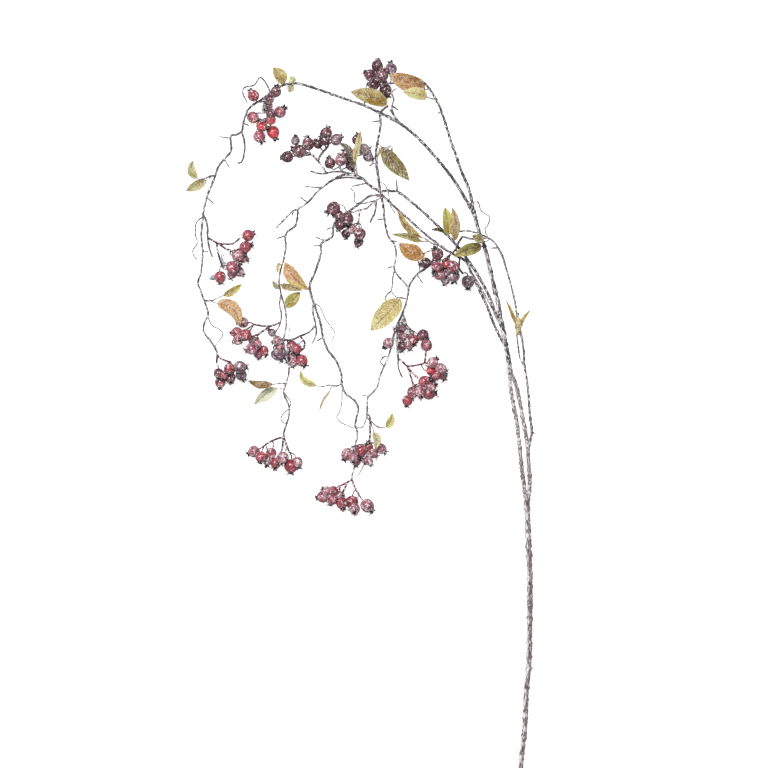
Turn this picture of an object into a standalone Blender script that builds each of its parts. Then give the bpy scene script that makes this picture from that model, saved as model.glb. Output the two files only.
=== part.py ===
"""Rose hip sprig, cut from its bush and laid down. Metres, +Z up, resting on Z = 0.

The woody stem runs along Y: its cut end is at -Y, and near +Y it splits into two arching
crowns whose twigs hang back towards -Y. Bunches of hips hang from the twigs on thin stalks,
and a few dry leaves are left. The origin is the middle of the sprig's length and width, on
the surface that it lies on.

The layout tables are in millimetres and MM turns them into metres. A strand's route and a
leaf's midrib are a few points that a smooth curve runs through.
"""
import math

import bmesh
import bpy
from mathutils import Matrix, Vector

MM = 0.001
GAP = 0.4 * MM                # between the bark and what grows on it
SLANT_ROOM = 1.2              # half widths of extra room where something leaves a tip at a slant
LEAST_SINE_SQUARED = 0.1      # limit for what leaves the bark almost along it
COLLECTION = "rose_hip_sprig"

STRAND_STEP = 13.0 * MM       # spacing of the points along a branch
TENDRIL_STEP = 9.0 * MM       # and along a thin, curling one
TENDRIL_RADIUS = 0.75         # mm, strands up to this thin are tendrils
SPUR_RADIUS = (0.9, 0.7)      # mm, at the root and at the tip
THICK_STRANDS = ("trunk", "main")
THICK_SIDES = 8               # sides of those tubes
BRANCH_SIDES = 6
THIN_SIDES = 4                # of tendrils, spurs and stalks

HIP_SIDES = 8
HIP_BANDS = 4
HIP_STRETCH = 1.06            # length along the stalk over width
CROWN_RADIUS = 0.62           # sepal tips from the axis, over the hip's radius
CROWN_HEIGHT = 0.50           # sepal tips beyond the hip, over its radius
CROWN_ROOT = 0.55             # pointed foot of the crown from the hip's middle, over its radius
CROWN_SEPALS = 5
STALK_RADIUS = 0.75 * MM
STALK_POINTS = 3              # on a stalk's bowed route
STALK_AIM = 1.7               # it bends at this distance from the hip's middle, over its radius
STALK_END = 0.5               # and ends inside the hip at this distance
PEDUNCLE_RADIUS = 1.0         # mm

LEAF_THICKNESS = 0.8 * MM
PETIOLE_HALF_WIDTH = 0.9 * MM
LEAF_ROWS = 4                 # from the blade's start to the tip
LEAF_ROWS_LARGE = 7
LARGE_LEAF_WIDTH = 12.0       # mm, from here on a leaf gets the finer edge
LEAF_CUP = math.radians(22)   # each half of a blade rises from the midrib
TOOTH_DEPTH = 0.16            # depth of the edge's teeth over the half width
BLADE_SKEW = 0.8              # below 1, the widest place of a blade is nearer its tip
BLADE_FULLNESS = 0.75         # below 1, a blade is fuller than a sine
MIDRIB_STEP = 2.0 * MM        # spacing of the points along a midrib before it is split in rows

WELD = 0.01 * MM              # points closer than this are one
STEM_KEEP = 0.42              # share of the fused stem's triangles that stays
BUNCH_KEEP = 0.49             # and of a fused bunch's

FLOOR_BOX = (0.6, 1.0, 0.02)  # what is trimmed off below the surface

BARK_ROUGHNESS = 0.85
HIP_ROUGHNESS = 0.4
LEAF_ROUGHNESS = 0.7
BARK = "#6f6260"
LEAF_COLOURS = {
    "tan": "#c98a4e", "olive": "#b3a24a", "brown": "#7d6842", "pale": "#cfcf8a",
}
HIP_COLOURS = {
    "red": "#b8303c", "rose": "#a84a54", "plum": "#6e3a4c",
}

# Strands of the stem: (name, parent, radius at the root, radius at the tip, route).
# A strand's first point is moved to its parent's axis.
STRANDS = [
    ("trunk", None, 2.6, 3.3, [
        (176, -400, 2.3), (178, -365, 2.8), (181.5, -335, 3.6), (183.5, -290, 5),
        (186, -262, 6), (187, -217, 7), (187, -163, 9), (185, -117, 11), (183.5, -78, 13)]),
    ("fork_left", "trunk", 2.3, 2.3, [
        (183.5, -88, 12.6), (181, -68, 13.5), (178, -44, 15), (175.5, -20, 17),
        (172.5, 5, 18), (169, 23, 19), (166, 41, 20), (164, 66, 21.5)]),
    ("fork_right", "trunk", 2.3, 2.0, [
        (184.5, -88, 12), (187, -61, 13), (186, -43, 14), (184.5, -22, 16), (182, -5, 18),
        (179, 10, 19), (176, 27, 20), (172, 45, 20.5), (167, 58, 21), (164, 72, 22)]),
    ("main", "fork_left", 2.9, 2.1, [
        (164.5, 58, 21.3), (163, 75, 22.5), (160, 91, 24), (157, 107, 26.5), (154, 121, 29),
        (152, 135, 31), (148, 150, 33), (144, 168, 36), (140, 185, 38), (136, 200, 40),
        (131, 213, 42), (127, 228, 44), (125, 238, 45)]),
    ("arch_left", "main", 1.9, 1.3, [
        (126, 231, 44), (117, 248, 47), (104, 269, 50), (92, 285, 52), (80, 299, 54),
        (65, 315, 56), (50, 328, 57), (36, 337, 57), (22, 344, 56), (5, 352, 54),
        (-20, 361, 50), (-45, 370, 45), (-68, 377, 40), (-82, 376, 37), (-97, 368, 33),
        (-108, 360, 30), (-118, 354, 27), (-125, 347, 25)]),
    ("arch_right", "main", 1.8, 1.1, [
        (125, 235, 45), (120, 259, 48), (111, 281, 50), (104, 301, 51), (98, 318, 52),
        (92, 338, 52), (87, 352, 50), (80, 365, 48), (73, 375, 46), (66, 381, 44),
        (57, 384, 42), (48, 382, 40), (38, 378, 38)]),
    ("outer", "fork_right", 1.5, 1.0, [
        (185, -26, 16), (189, -6, 17), (187, 14, 19), (185.5, 34, 21), (183.5, 52, 23),
        (181, 67, 25), (180, 84, 27), (177.5, 100, 29), (174, 112, 31), (172.5, 124, 33),
        (170, 138, 36), (166, 155, 39), (160, 175, 43), (156, 188, 46), (149, 200, 50),
        (140, 207.5, 52), (132, 205.5, 52), (124, 206, 51), (113, 208.5, 50)]),
    ("outer_twin", "outer", 1.0, 1.0, [
        (181, 66, 25), (176, 76, 26.5), (174, 88, 28), (172.5, 100, 29.5), (173.5, 112, 31)]),
    ("inner", "main", 1.7, 1.5, [
        (155, 112, 28), (149, 124, 31), (144, 139, 35), (136, 155, 38), (128, 169, 40),
        (120, 181, 43), (108, 197, 45), (98, 208, 46), (86, 220, 47), (70, 235, 47),
        (55, 248, 46), (41, 258, 45), (31, 259, 44), (24, 259, 44)]),
    ("lower", "main", 1.6, 1.3, [
        (160, 88, 23.6), (153, 101, 25), (146, 116, 27), (140, 132, 30), (131, 151, 32),
        (123, 168, 34), (116, 182, 35), (104, 189, 36), (88, 199, 37), (74, 210, 38),
        (58, 224, 40), (40, 240, 42), (27, 252, 43.5), (22, 257, 44)]),
    ("between", "inner", 1.1, 0.9, [
        (149, 124, 31), (142, 136, 32.5), (134, 151, 34), (127, 163, 35), (121, 172, 34.5)]),
    ("descent", "arch_left", 1.3, 1.5, [
        (22, 344, 56), (22.5, 330, 54), (18, 305, 50), (18, 292, 48), (20, 275, 46),
        (22, 260, 44)]),
    ("below_hub", "descent", 1.3, 1.0, [
        (22, 261, 44), (26, 240, 42), (27, 228, 41), (31, 210, 39), (38, 200, 37),
        (39.5, 188, 36), (38, 173, 35), (42, 166, 33), (51, 156, 29), (54, 149, 27)]),
    ("limb_left", "below_hub", 1.6, 1.0, [
        (23, 258, 44), (12, 264, 43), (2, 273, 42), (-10, 277, 41), (-20, 276, 40),
        (-35, 268, 39), (-47, 258, 38), (-57, 247, 37), (-68, 240, 36), (-75, 236, 35),
        (-86, 225, 34), (-92, 218.5, 34)]),
    ("limb_left_twin", "limb_left", 0.8, 0.7, [
        (4, 271, 42), (-5, 273, 40), (-15, 274, 38.5), (-27, 272, 39)]),
    ("blunt_left", "limb_left", 1.1, 0.9, [
        (-6, 276, 41.5), (-18, 280, 40.5), (-30, 280, 39.5), (-42, 278, 38.5),
        (-55, 281, 37.5)]),
    ("drop_left", "limb_left", 1.2, 0.9, [
        (-68, 240, 36), (-69, 228, 35), (-71, 221, 34.5), (-80, 214, 34), (-82, 206, 33.5),
        (-81.5, 198, 33), (-83.5, 186, 32), (-87, 173, 32), (-89, 160, 31), (-87, 146, 30),
        (-88.5, 135, 29), (-86.5, 124, 28.5), (-88, 113, 28), (-93, 104, 27)]),
    ("drop_right", "drop_left", 0.9, 1.1, [
        (-87, 147, 30), (-83, 133, 30.5), (-81, 120, 31), (-82, 105, 31), (-84, 96, 31),
        (-82, 80, 30.5), (-78, 66, 29), (-80, 52, 27), (-84, 39, 25), (-82, 32, 24),
        (-78, 22, 23), (-78.5, 11, 22), (-82, 0, 20.5), (-84, -7, 19)]),
    ("drop_loop", "drop_right", 0.6, 0.6, [
        (-84, 39, 25), (-80, 33, 26), (-76, 27, 25), (-78, 21, 23)]),
    ("drop_curl", "drop_right", 0.55, 0.5, [
        (-78.5, 20, 23), (-84, 15, 24), (-87, 9, 24), (-85, 5, 23), (-81, 4, 21.5)]),
    ("limb_low", "below_hub", 1.5, 1.2, [
        (24, 254, 43.5), (12, 254, 42), (5, 250, 41), (-5, 242, 38), (-14, 236, 33),
        (-24, 230, 30), (-29, 221, 30), (-31, 209, 30), (-42, 202, 30), (-43, 190, 30),
        (-49, 171, 30), (-55, 156, 29), (-53, 143, 28), (-50, 134, 28), (-46, 122, 27),
        (-43, 112, 27), (-40.5, 98, 26), (-35, 84, 25), (-27, 74, 24), (-21, 60, 23),
        (-20, 47, 22), (-16, 37, 21), (-6, 29, 20), (-2, 20, 19), (-4.5, 8, 18.5),
        (-5.5, -1, 18)]),
    ("low_back", "limb_low", 1.2, 1.1, [
        (-5, 2, 18), (-3, -9, 12), (-5, -19, 8), (-6, -30, 6.5), (-6, -43, 7.5),
        (-9, -54, 9)]),
    ("low_side", "limb_low", 1.0, 0.8, [
        (-51, 137, 28), (-52, 128, 27.5), (-49, 114, 27), (-48, 104, 27), (-50, 97, 26.5),
        (-53, 91, 26)]),
    ("low_branch", "low_side", 0.9, 0.9, [
        (-49, 112, 27), (-54, 106, 26), (-60, 102, 25)]),
    ("low_curl", "limb_low", 0.65, 0.5, [
        (-51, 137, 28), (-44, 132, 29), (-38, 119, 30), (-31, 109, 31), (-28, 105, 31),
        (-31, 92, 30)]),
    ("low_tendril", "limb_low", 0.65, 0.55, [
        (-20, 45, 22), (-20, 28, 23), (-22, 18, 23), (-25.5, 11, 22), (-21, 5, 21),
        (-12, 1, 19.5), (-6, -2, 18)]),
    ("low_leaf_twig", "limb_low", 0.9, 0.8, [
        (-20, 47, 22), (-27, 45, 24), (-34, 46, 25), (-43, 44, 26)]),
    ("hub_twig", "below_hub", 1.0, 0.9, [
        (24, 252, 43.5), (17, 248, 44), (10, 242, 45), (7, 239, 45)]),
    ("hub_curl", "descent", 0.65, 0.5, [
        (20, 269, 45), (27, 266, 48), (31, 257, 49), (34, 242, 48), (39, 234, 47)]),
    ("hub_tendril", "hub_twig", 0.65, 0.5, [
        (17, 249, 44), (8, 246, 46), (0, 245, 47), (-6, 247, 47), (-6, 256, 46),
        (-10, 262, 45)]),
    ("hub_spur", "hub_twig", 0.8, 0.7, [(17, 249, 44), (17, 238, 42), (11, 224, 40)]),
    ("limb_right", "lower", 1.4, 1.1, [
        (85, 201, 37), (82, 191, 34), (79, 181, 31), (70, 173, 28), (62, 167, 27),
        (55, 157, 27), (53, 147, 27), (50, 134, 27), (46, 123, 27), (41.5, 112, 27.5),
        (41, 100, 28), (41, 88, 27), (42, 76, 25)]),
    ("right_back", "limb_right", 1.0, 1.1, [
        (42, 115, 27), (38, 103, 21), (34.5, 89, 19), (31, 77, 20), (27, 68, 21),
        (22, 56, 22), (19, 44, 22), (13, 37, 22), (8.5, 32, 22), (8, 20, 21), (7, 9, 20)]),
    ("right_join", "right_back", 0.9, 0.9, [(7, 10, 20), (3, 0, 19), (-4, -1, 18)]),
    ("right_loop", "right_back", 0.6, 0.55, [
        (31, 78, 20), (26, 77, 22), (22.5, 72, 23), (26, 67, 21)]),
    ("right_spur", "limb_right", 1.0, 0.9, [(42, 77, 25), (42, 66, 23), (44, 60, 22), (47, 54, 22)]),
    ("right_strand", "below_hub", 0.7, 0.65, [
        (38, 173, 35), (36, 164, 33), (34.5, 150, 31), (30, 146, 31), (27.5, 140, 31),
        (29, 136, 31)]),
    ("right_bridge", "limb_right", 0.8, 0.6, [
        (51.5, 141, 27), (46, 142, 29), (40, 142.5, 30), (34.5, 149, 31)]),
    ("right_leaf_twig", "right_back", 0.9, 0.9, [
        (7, 11, 20), (15, 3.5, 20.5), (20, 0, 21), (26, -0.5, 22)]),
    ("right_drop", "right_leaf_twig", 0.8, 0.75, [
        (11, 7, 20.2), (13, 1, 22.5), (15, -5, 24.5)]),
    ("right_curl", "limb_right", 0.6, 0.5, [(65, 169, 27), (66, 177, 29), (64, 183, 30)]),
    ("curtain", "arch_left", 1.3, 1.1, [
        (-124, 348, 25), (-128, 336, 24), (-130, 326, 24), (-135, 322, 23.5),
        (-142, 320, 23), (-142, 304, 22), (-150, 294, 22), (-156, 286, 23),
        (-160, 274, 24), (-164, 264, 25), (-168, 254, 26), (-171, 242, 26),
        (-173, 228, 26), (-174.5, 210, 26), (-173, 190, 26), (-175, 170, 25.5),
        (-178, 159, 25), (-175, 149, 25), (-171, 138, 25), (-167, 124, 25),
        (-171, 115, 24), (-172, 105, 24), (-164, 94, 23), (-157, 82, 22)]),
    ("curtain_side", "curtain", 1.0, 0.8, [
        (-172, 234, 26), (-168, 222, 27), (-167.5, 208, 27), (-165, 194, 26),
        (-162, 187, 26)]),
    ("curtain_tendril", "curtain", 0.65, 0.55, [
        (-167, 121, 25), (-163, 112, 26), (-154, 107, 27), (-151, 101, 26), (-158, 91, 24),
        (-160, 87, 22.5)]),
    ("curtain_curl", "curtain", 0.65, 0.5, [
        (-173, 232, 26), (-180, 224, 28), (-181, 212, 29), (-179, 202, 29),
        (-184, 193, 29), (-179, 183, 28)]),
    ("top_curl", "arch_left", 0.7, 0.55, [
        (-98, 367, 33), (-104, 379, 34), (-110, 384, 34), (-116, 376, 33),
        (-127, 373, 31), (-129, 368, 30), (-124, 356, 27)]),
    ("curtain_loop", "curtain", 0.7, 0.6, [
        (-130, 325, 24), (-127, 313, 25), (-127, 304, 25), (-130, 292, 24),
        (-135, 290, 24)]),
    ("curtain_leaf_twig", "curtain", 0.9, 0.8, [(-159, 276, 24), (-165, 276, 25), (-171, 273, 26)]),
    ("curtain_low_twig", "curtain", 0.9, 0.8, [(-171, 139, 25), (-166, 139, 25), (-161.5, 139, 25)]),
    ("main_curl", "arch_left", 0.8, 0.55, [
        (120, 245, 46), (129, 247, 47), (133, 237, 48), (142, 230, 48), (140, 221, 47),
        (137, 217, 46), (140, 208, 51)]),
    ("arch_twig", "arch_left", 0.9, 0.8, [
        (46, 331, 57), (37, 341, 59), (33, 348, 60)]),
    ("arch_curl", "arch_left", 0.65, 0.5, [
        (40, 335, 57), (35, 350, 59), (37, 358, 60), (35, 366, 59), (40, 371, 57)]),
    ("arch_leaf_twig", "arch_left", 0.9, 0.8, [(22, 344, 56), (26, 348, 60), (31, 351, 63)]),
    ("leaf_twig_high", "lower", 0.9, 0.8, [(86, 200, 37), (80, 201, 41), (73, 206, 43)]),
    ("side_leaf_twig", "outer", 0.8, 0.7, [
        (140, 207.5, 52), (130, 212, 54), (118, 215, 54), (107, 214, 53)]),
    ("left_leaf_twig", "drop_right", 0.8, 0.8, [(-81, 48, 27), (-88, 48, 27)]),
]

# Short spurs and old leaf scars: (parent, root, tip).
SPURS = [
    ("trunk", (185.5, -263, 6), (191, -267, 8)),
    ("outer", (189, -5, 17), (192.5, -7.5, 18)),
    ("outer", (172.5, 121, 33), (175, 126, 34)),
    ("outer", (151, 196, 49), (142, 196, 50)),
    ("arch_left", (3, 352, 54), (7, 358, 56)),
    ("arch_right", (90, 345, 51), (86, 344, 53)),
    ("arch_curl", (35, 352, 59), (42, 347, 59)),
    ("descent", (22, 335, 55), (11, 334, 55)),
    ("descent", (18, 291, 48), (10, 286, 49)),
    ("inner", (41, 258, 45), (40, 271, 46)),
    ("below_hub", (27, 229, 41), (18, 227, 42)),
    ("below_hub", (34, 205, 38), (41, 203, 39)),
    ("below_hub", (38, 177, 35), (29, 174, 36)),
    ("limb_left", (8, 267, 42.5), (-9, 264, 44)),
    ("limb_left", (-42, 263, 38.5), (-61, 264, 39)),
    ("limb_left", (-58, 246.5, 37), (-66, 253, 38)),
    ("limb_left", (-73, 237, 35), (-75, 231, 34)),
    ("drop_left", (-84, 211, 34), (-92, 207, 34)),
    ("limb_low", (-30, 220, 30), (-37, 217, 30)),
    ("limb_low", (-39, 205, 30), (-49, 209, 31)),
    ("limb_low", (-43, 199, 30), (-52, 200, 30)),
    ("limb_low", (-41, 99, 26), (-48, 94, 26)),
    ("right_back", (9, 35, 22), (2, 35, 22)),
    ("limb_right", (63, 167, 27), (69, 158, 26)),
    ("curtain", (-128, 334, 24), (-122, 331.5, 27)),
    ("curtain", (-143, 318, 23), (-155, 319.5, 23)),
    ("curtain", (-149, 294, 22), (-144, 286, 22)),
    ("curtain", (-167, 252, 26), (-160, 245, 27)),
    ("curtain", (-174, 192.5, 26), (-167, 193, 26)),
]

# Bunches: (name, colour, carrying strand, peduncles, hips). A peduncle is a route; the first
# one starts on the carrying strand. A hip is (x, y, z, radius, heading, rise): the heading
# and rise of its crown are in degrees. Its stalk leaves the nearest peduncle point.
BUNCHES = [
    ("hips_01", "red", "arch_left", [
        [(-106, 361, 30), (-105, 355, 26), (-103, 348, 20), (-102, 341, 16)]], [
        (-117, 364, 38, 6.5, 120, 10), (-92, 368, 45, 6.0, 85, 30),
        (-100, 361, 20, 5.5, 60, 20), (-118, 341, 15, 6.5, 330, 20),
        (-88, 347, 19, 6.5, 40, 20), (-98, 345, 27, 5.5, 145, 20),
        (-108, 331, 18, 6.0, 340, 20), (-111, 320, 12, 6.5, 300, 10),
        (-96, 325, 5.8, 6.8, 290, 5), (-102, 354, 12.5, 5.5, 230, 10),
        (-98.5, 338, 23, 5.5, 190, 20)]),
    ("hips_02", "plum", "arch_right", [
        [(39, 378, 38), (31, 377, 36), (24, 377, 33), (21, 383, 30)]], [
        (19, 397, 30, 6.5, 80, 40), (34, 394, 27, 6.5, 95, 10), (11, 387, 25, 6.5, 150, 10),
        (24, 386, 38, 7.0, 70, 40), (15, 376, 34, 6.0, 175, 10), (28, 370, 28, 7.0, 290, 0),
        (18, 365, 27, 5.5, 280, 40), (25, 378, 28, 5.5, 315, 0)]),
    ("hips_03", "plum", "blunt_left", [
        [(-37, 279, 39), (-42, 287, 38), (-46, 292, 37), (-52, 299, 35)],
        [(-46, 292, 37), (-43, 299, 37), (-37, 306, 36)]], [
        (-80, 297, 29, 6.5, 185, 0), (-67, 303, 33, 7.5, 160, 10), (-71, 315, 29, 5.0, 85, 30),
        (-57, 311, 37, 7.0, 100, 10), (-46, 311, 30, 5.0, 120, 30),
        (-37, 323, 31, 6.5, 70, 0), (-39, 315, 42, 6.0, 130, 20), (-26, 316, 33, 6.5, 30, 0)]),
    ("hips_04", "plum", "blunt_left", [
        [(-19, 280, 40.5), (-21, 283, 40), (-23, 286, 38)]], [
        (-33, 290, 35, 6.0, 105, 10), (-21, 293, 43, 6.5, 95, 50), (-13, 298, 33, 7.0, 120, 10),
        (4, 305, 35, 6.5, 0, 0), (9, 297, 30, 5.5, 330, 0), (-3, 316, 30, 6.0, 80, 0),
        (-10.5, 287.5, 27, 5.5, 300, 0)]),
    ("hips_05", "plum", "hub_twig", [
        [(8, 240, 45), (0, 238, 46), (-7, 236, 46), (-14, 235, 46)],
        [(0, 238, 46), (-1, 230, 46), (-2, 224, 45)]], [
        (-29, 240, 41, 7.5, 215, 10), (-14, 228, 44, 7.5, 280, 30), (-22, 222, 41, 6.0, 255, 10),
        (-9, 217, 40, 5.5, 220, 20), (0, 212, 42, 6.5, 258, 0), (-23.5, 232.5, 38.5, 5.5, 185, 0),
        (-15.5, 212, 37, 5.0, 270, 0), (-1.5, 203.5, 34, 5.5, 250, 0)]),
    ("hips_06", "red", "curtain_side", [
        [(-167, 208, 27), (-162, 205, 26), (-155, 202, 25), (-141, 201.5, 23), (-133, 207, 22)],
        [(-156.5, 202.5, 25.2), (-149, 197, 23), (-142, 194, 21)],
        [(-158, 203.2, 25.4), (-156, 191, 24), (-152, 178, 22)]], [
        (-123, 211, 21, 6.5, 20, 0), (-126, 198, 26, 6.5, 15, 10), (-134, 189, 19, 7.0, 0, 20),
        (-140, 176, 25, 7.0, 20, 10), (-133, 171, 14, 5.5, 320, 0), (-154, 165, 19, 6.5, 275, 0),
        (-129, 186, 14, 5.5, 340, 0), (-141, 169, 12, 5.5, 250, 0)]),
    ("hips_07", "plum", "outer", [
        [(112, 208.5, 50), (108, 202, 51), (105, 195, 50), (98, 188, 47), (91, 183, 45)],
        [(105, 195, 50), (109, 186, 46), (109, 175, 30), (113, 169, 18)]], [
        (72, 180, 41, 6.0, 200, 10), (85, 190, 46, 6.5, 120, 30), (84, 176, 45, 6.0, 240, 30),
        (95, 180, 37, 5.5, 240, 0), (102, 176, 46, 6.5, 300, 20), (87, 167, 38, 6.0, 175, 0),
        (103, 166, 36, 6.5, 270, 20), (94, 162, 27, 5.5, 260, 0), (119, 160, 6.0, 7.0, 270, 5),
        (93, 171, 30, 5.5, 250, 20)]),
    ("hips_08", "rose", "drop_left", [
        [(-88, 115, 28), (-92, 113, 27), (-98, 111, 26), (-106, 106, 25), (-113, 101, 24)],
        [(-98, 111, 26), (-106, 111, 25), (-117, 113, 23)]], [
        (-129, 115, 20, 6.0, 180, 0), (-136, 104, 17, 6.0, 190, 0), (-126, 101, 27, 6.5, 225, 20),
        (-118, 95, 15, 5.0, 250, 0), (-119, 86, 23, 6.5, 200, 10), (-106, 84, 20, 5.5, 300, 0),
        (-112, 92, 30, 4.0, 270, 30), (-134.5, 95.5, 21.5, 5.5, 200, 0),
        (-112, 81, 12.5, 5.5, 280, 0)]),
    ("hips_09", "rose", "low_branch", [
        [(-60.5, 102, 25), (-66, 100, 23), (-75, 96, 21), (-86, 96, 18)],
        [(-66, 100, 23), (-61, 93, 22), (-62, 86, 19)]], [
        (-97, 104, 16, 4.5, 140, 0), (-91, 95, 18, 5.5, 200, 0), (-91, 80, 17, 7.0, 310, 10),
        (-75, 89, 15, 6.0, 270, 0), (-70, 86, 26, 6.0, 240, 30), (-71, 77, 15, 6.0, 262, 20),
        (-64, 73, 20, 6.5, 300, 10), (-79, 78, 10, 6.0, 265, 0), (-88.5, 88, 12, 5.5, 225, 20),
        (-73, 71, 20, 5.0, 255, 0)]),
    ("hips_10", "rose", "limb_right", [
        [(47, 124, 27), (49, 119, 27), (51, 112, 26), (56, 107, 25), (62, 103, 24)],
        [(49, 119, 27), (46, 114, 19), (45, 108, 14)],
        [(49, 120, 27), (45, 114, 33), (38, 105, 35)]], [
        (45, 109, 13, 6.0, 200, 0), (31, 92, 30, 6.0, 230, 30), (47, 99, 17, 5.0, 260, 0),
        (46, 89, 14, 5.5, 265, 0), (54, 90, 21, 5.0, 280, 0), (59, 96, 25, 5.5, 275, 20),
        (69, 101, 22, 6.5, 215, 10), (55, 102, 13, 5.0, 290, 0)]),
    ("hips_11", "red", "right_spur", [
        [(42, 75, 24.7), (47, 71.5, 26), (52, 67, 25), (62, 68, 25), (71, 70, 25), (76, 70, 25)],
        [(71, 70, 25), (72, 77, 27), (72.5, 83, 28)],
        [(52, 67, 25), (58, 59, 24), (64, 54, 23)],
        [(52, 67, 25), (56, 55, 23), (59, 45, 21)]], [
        (73, 90, 29, 6.5, 85, 10), (80, 71, 28, 6.0, 40, 10), (79, 62, 18, 6.0, 0, 0),
        (89, 64, 24, 6.5, 335, 0), (91, 58, 12, 6.0, 290, 0), (71, 50, 24, 6.5, 20, 20),
        (77, 50, 13, 6.0, 30, 0), (66, 38, 24, 6.0, 285, 40), (58, 38, 14, 6.5, 260, 0),
        (52, 29, 20, 6.0, 262, 10), (76, 37, 17, 7.0, 0, 0), (79, 44, 27, 5.0, 30, 30),
        (84, 57, 26, 5.5, 200, 20)]),
    ("hips_12", "rose", "curtain", [
        [(-157, 82, 22), (-157, 79, 21), (-153, 75, 20), (-145, 72, 19)],
        [(-157, 79, 21), (-158, 71, 19)]], [
        (-156, 59, 20, 5.5, 270, 0), (-144, 64, 25, 6.0, 250, 20), (-154, 49, 14, 6.0, 265, 0),
        (-143, 54, 18, 6.0, 280, 40), (-132, 66, 21, 7.0, 0, 0), (-131, 57, 12, 6.0, 300, 0),
        (-143, 62, 10, 5.0, 260, 0), (-149, 57, 22, 5.0, 250, 20)]),
    ("hips_13", "rose", "right_back", [
        [(8, 16, 20.5), (11, 9, 24), (11, 0, 26), (11, -10, 26), (8, -18, 25), (-1, -20, 24),
         (-9, -22, 23)]], [
        (-14, -30, 21, 7.0, 240, 0), (-7, -34, 29, 5.5, 270, 40), (1, -26, 27, 6.0, 250, 20),
        (6, -33, 19, 7.0, 275, 0), (10, -38, 27, 4.5, 300, 10), (14, -29, 19, 5.5, 320, 0),
        (23, -24, 17, 6.0, 320, 0), (9, -22, 18, 5.5, 90, 10), (-4, -38, 19, 5.0, 265, 0)]),
    ("hips_14", "rose", "low_back", [
        [(-9, -54, 9), (-9.5, -57, 10), (-14, -61, 11), (-20, -64, 12), (-25, -66, 13)],
        [(-9.5, -57, 10), (-6, -66, 11), (-1, -75, 11)],
        [(-14, -61, 11), (-17, -68, 12), (-19, -72, 12)]], [
        (-36, -71, 18, 6.0, 150, 10), (-41, -77, 9, 6.5, 190, 0), (-31, -80, 18, 6.0, 250, 0),
        (-23, -77, 9, 6.5, 265, 0), (-20, -84, 17, 6.5, 285, 40), (-9, -83, 10, 7.0, 265, 0),
        (-6, -90, 18, 6.0, 275, 50), (8, -87, 6.5, 7.5, 310, 5), (-30, -71, 12, 6.0, 200, 0)]),
    ("hips_15", "rose", "drop_right", [
        [(-84, -7, 19), (-84, -11, 18.5), (-85, -18, 18), (-86, -26, 18)],
        [(-84, -11, 18.5), (-94, -14, 18), (-104, -19, 18)],
        [(-84, -11, 18.5), (-81, -20, 18), (-78, -28, 17)]], [
        (-117, -27, 16, 6.5, 205, 0), (-109, -33, 24, 6.0, 260, 20), (-98, -29, 17, 6.0, 250, 0),
        (-93, -40, 15, 6.0, 260, 40), (-85, -34, 22, 6.5, 250, 10), (-76, -43, 15, 7.5, 265, 0),
        (-102, -37, 15, 5.5, 265, 10), (-69, -39, 18, 6.0, 285, 0)]),
]

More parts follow.
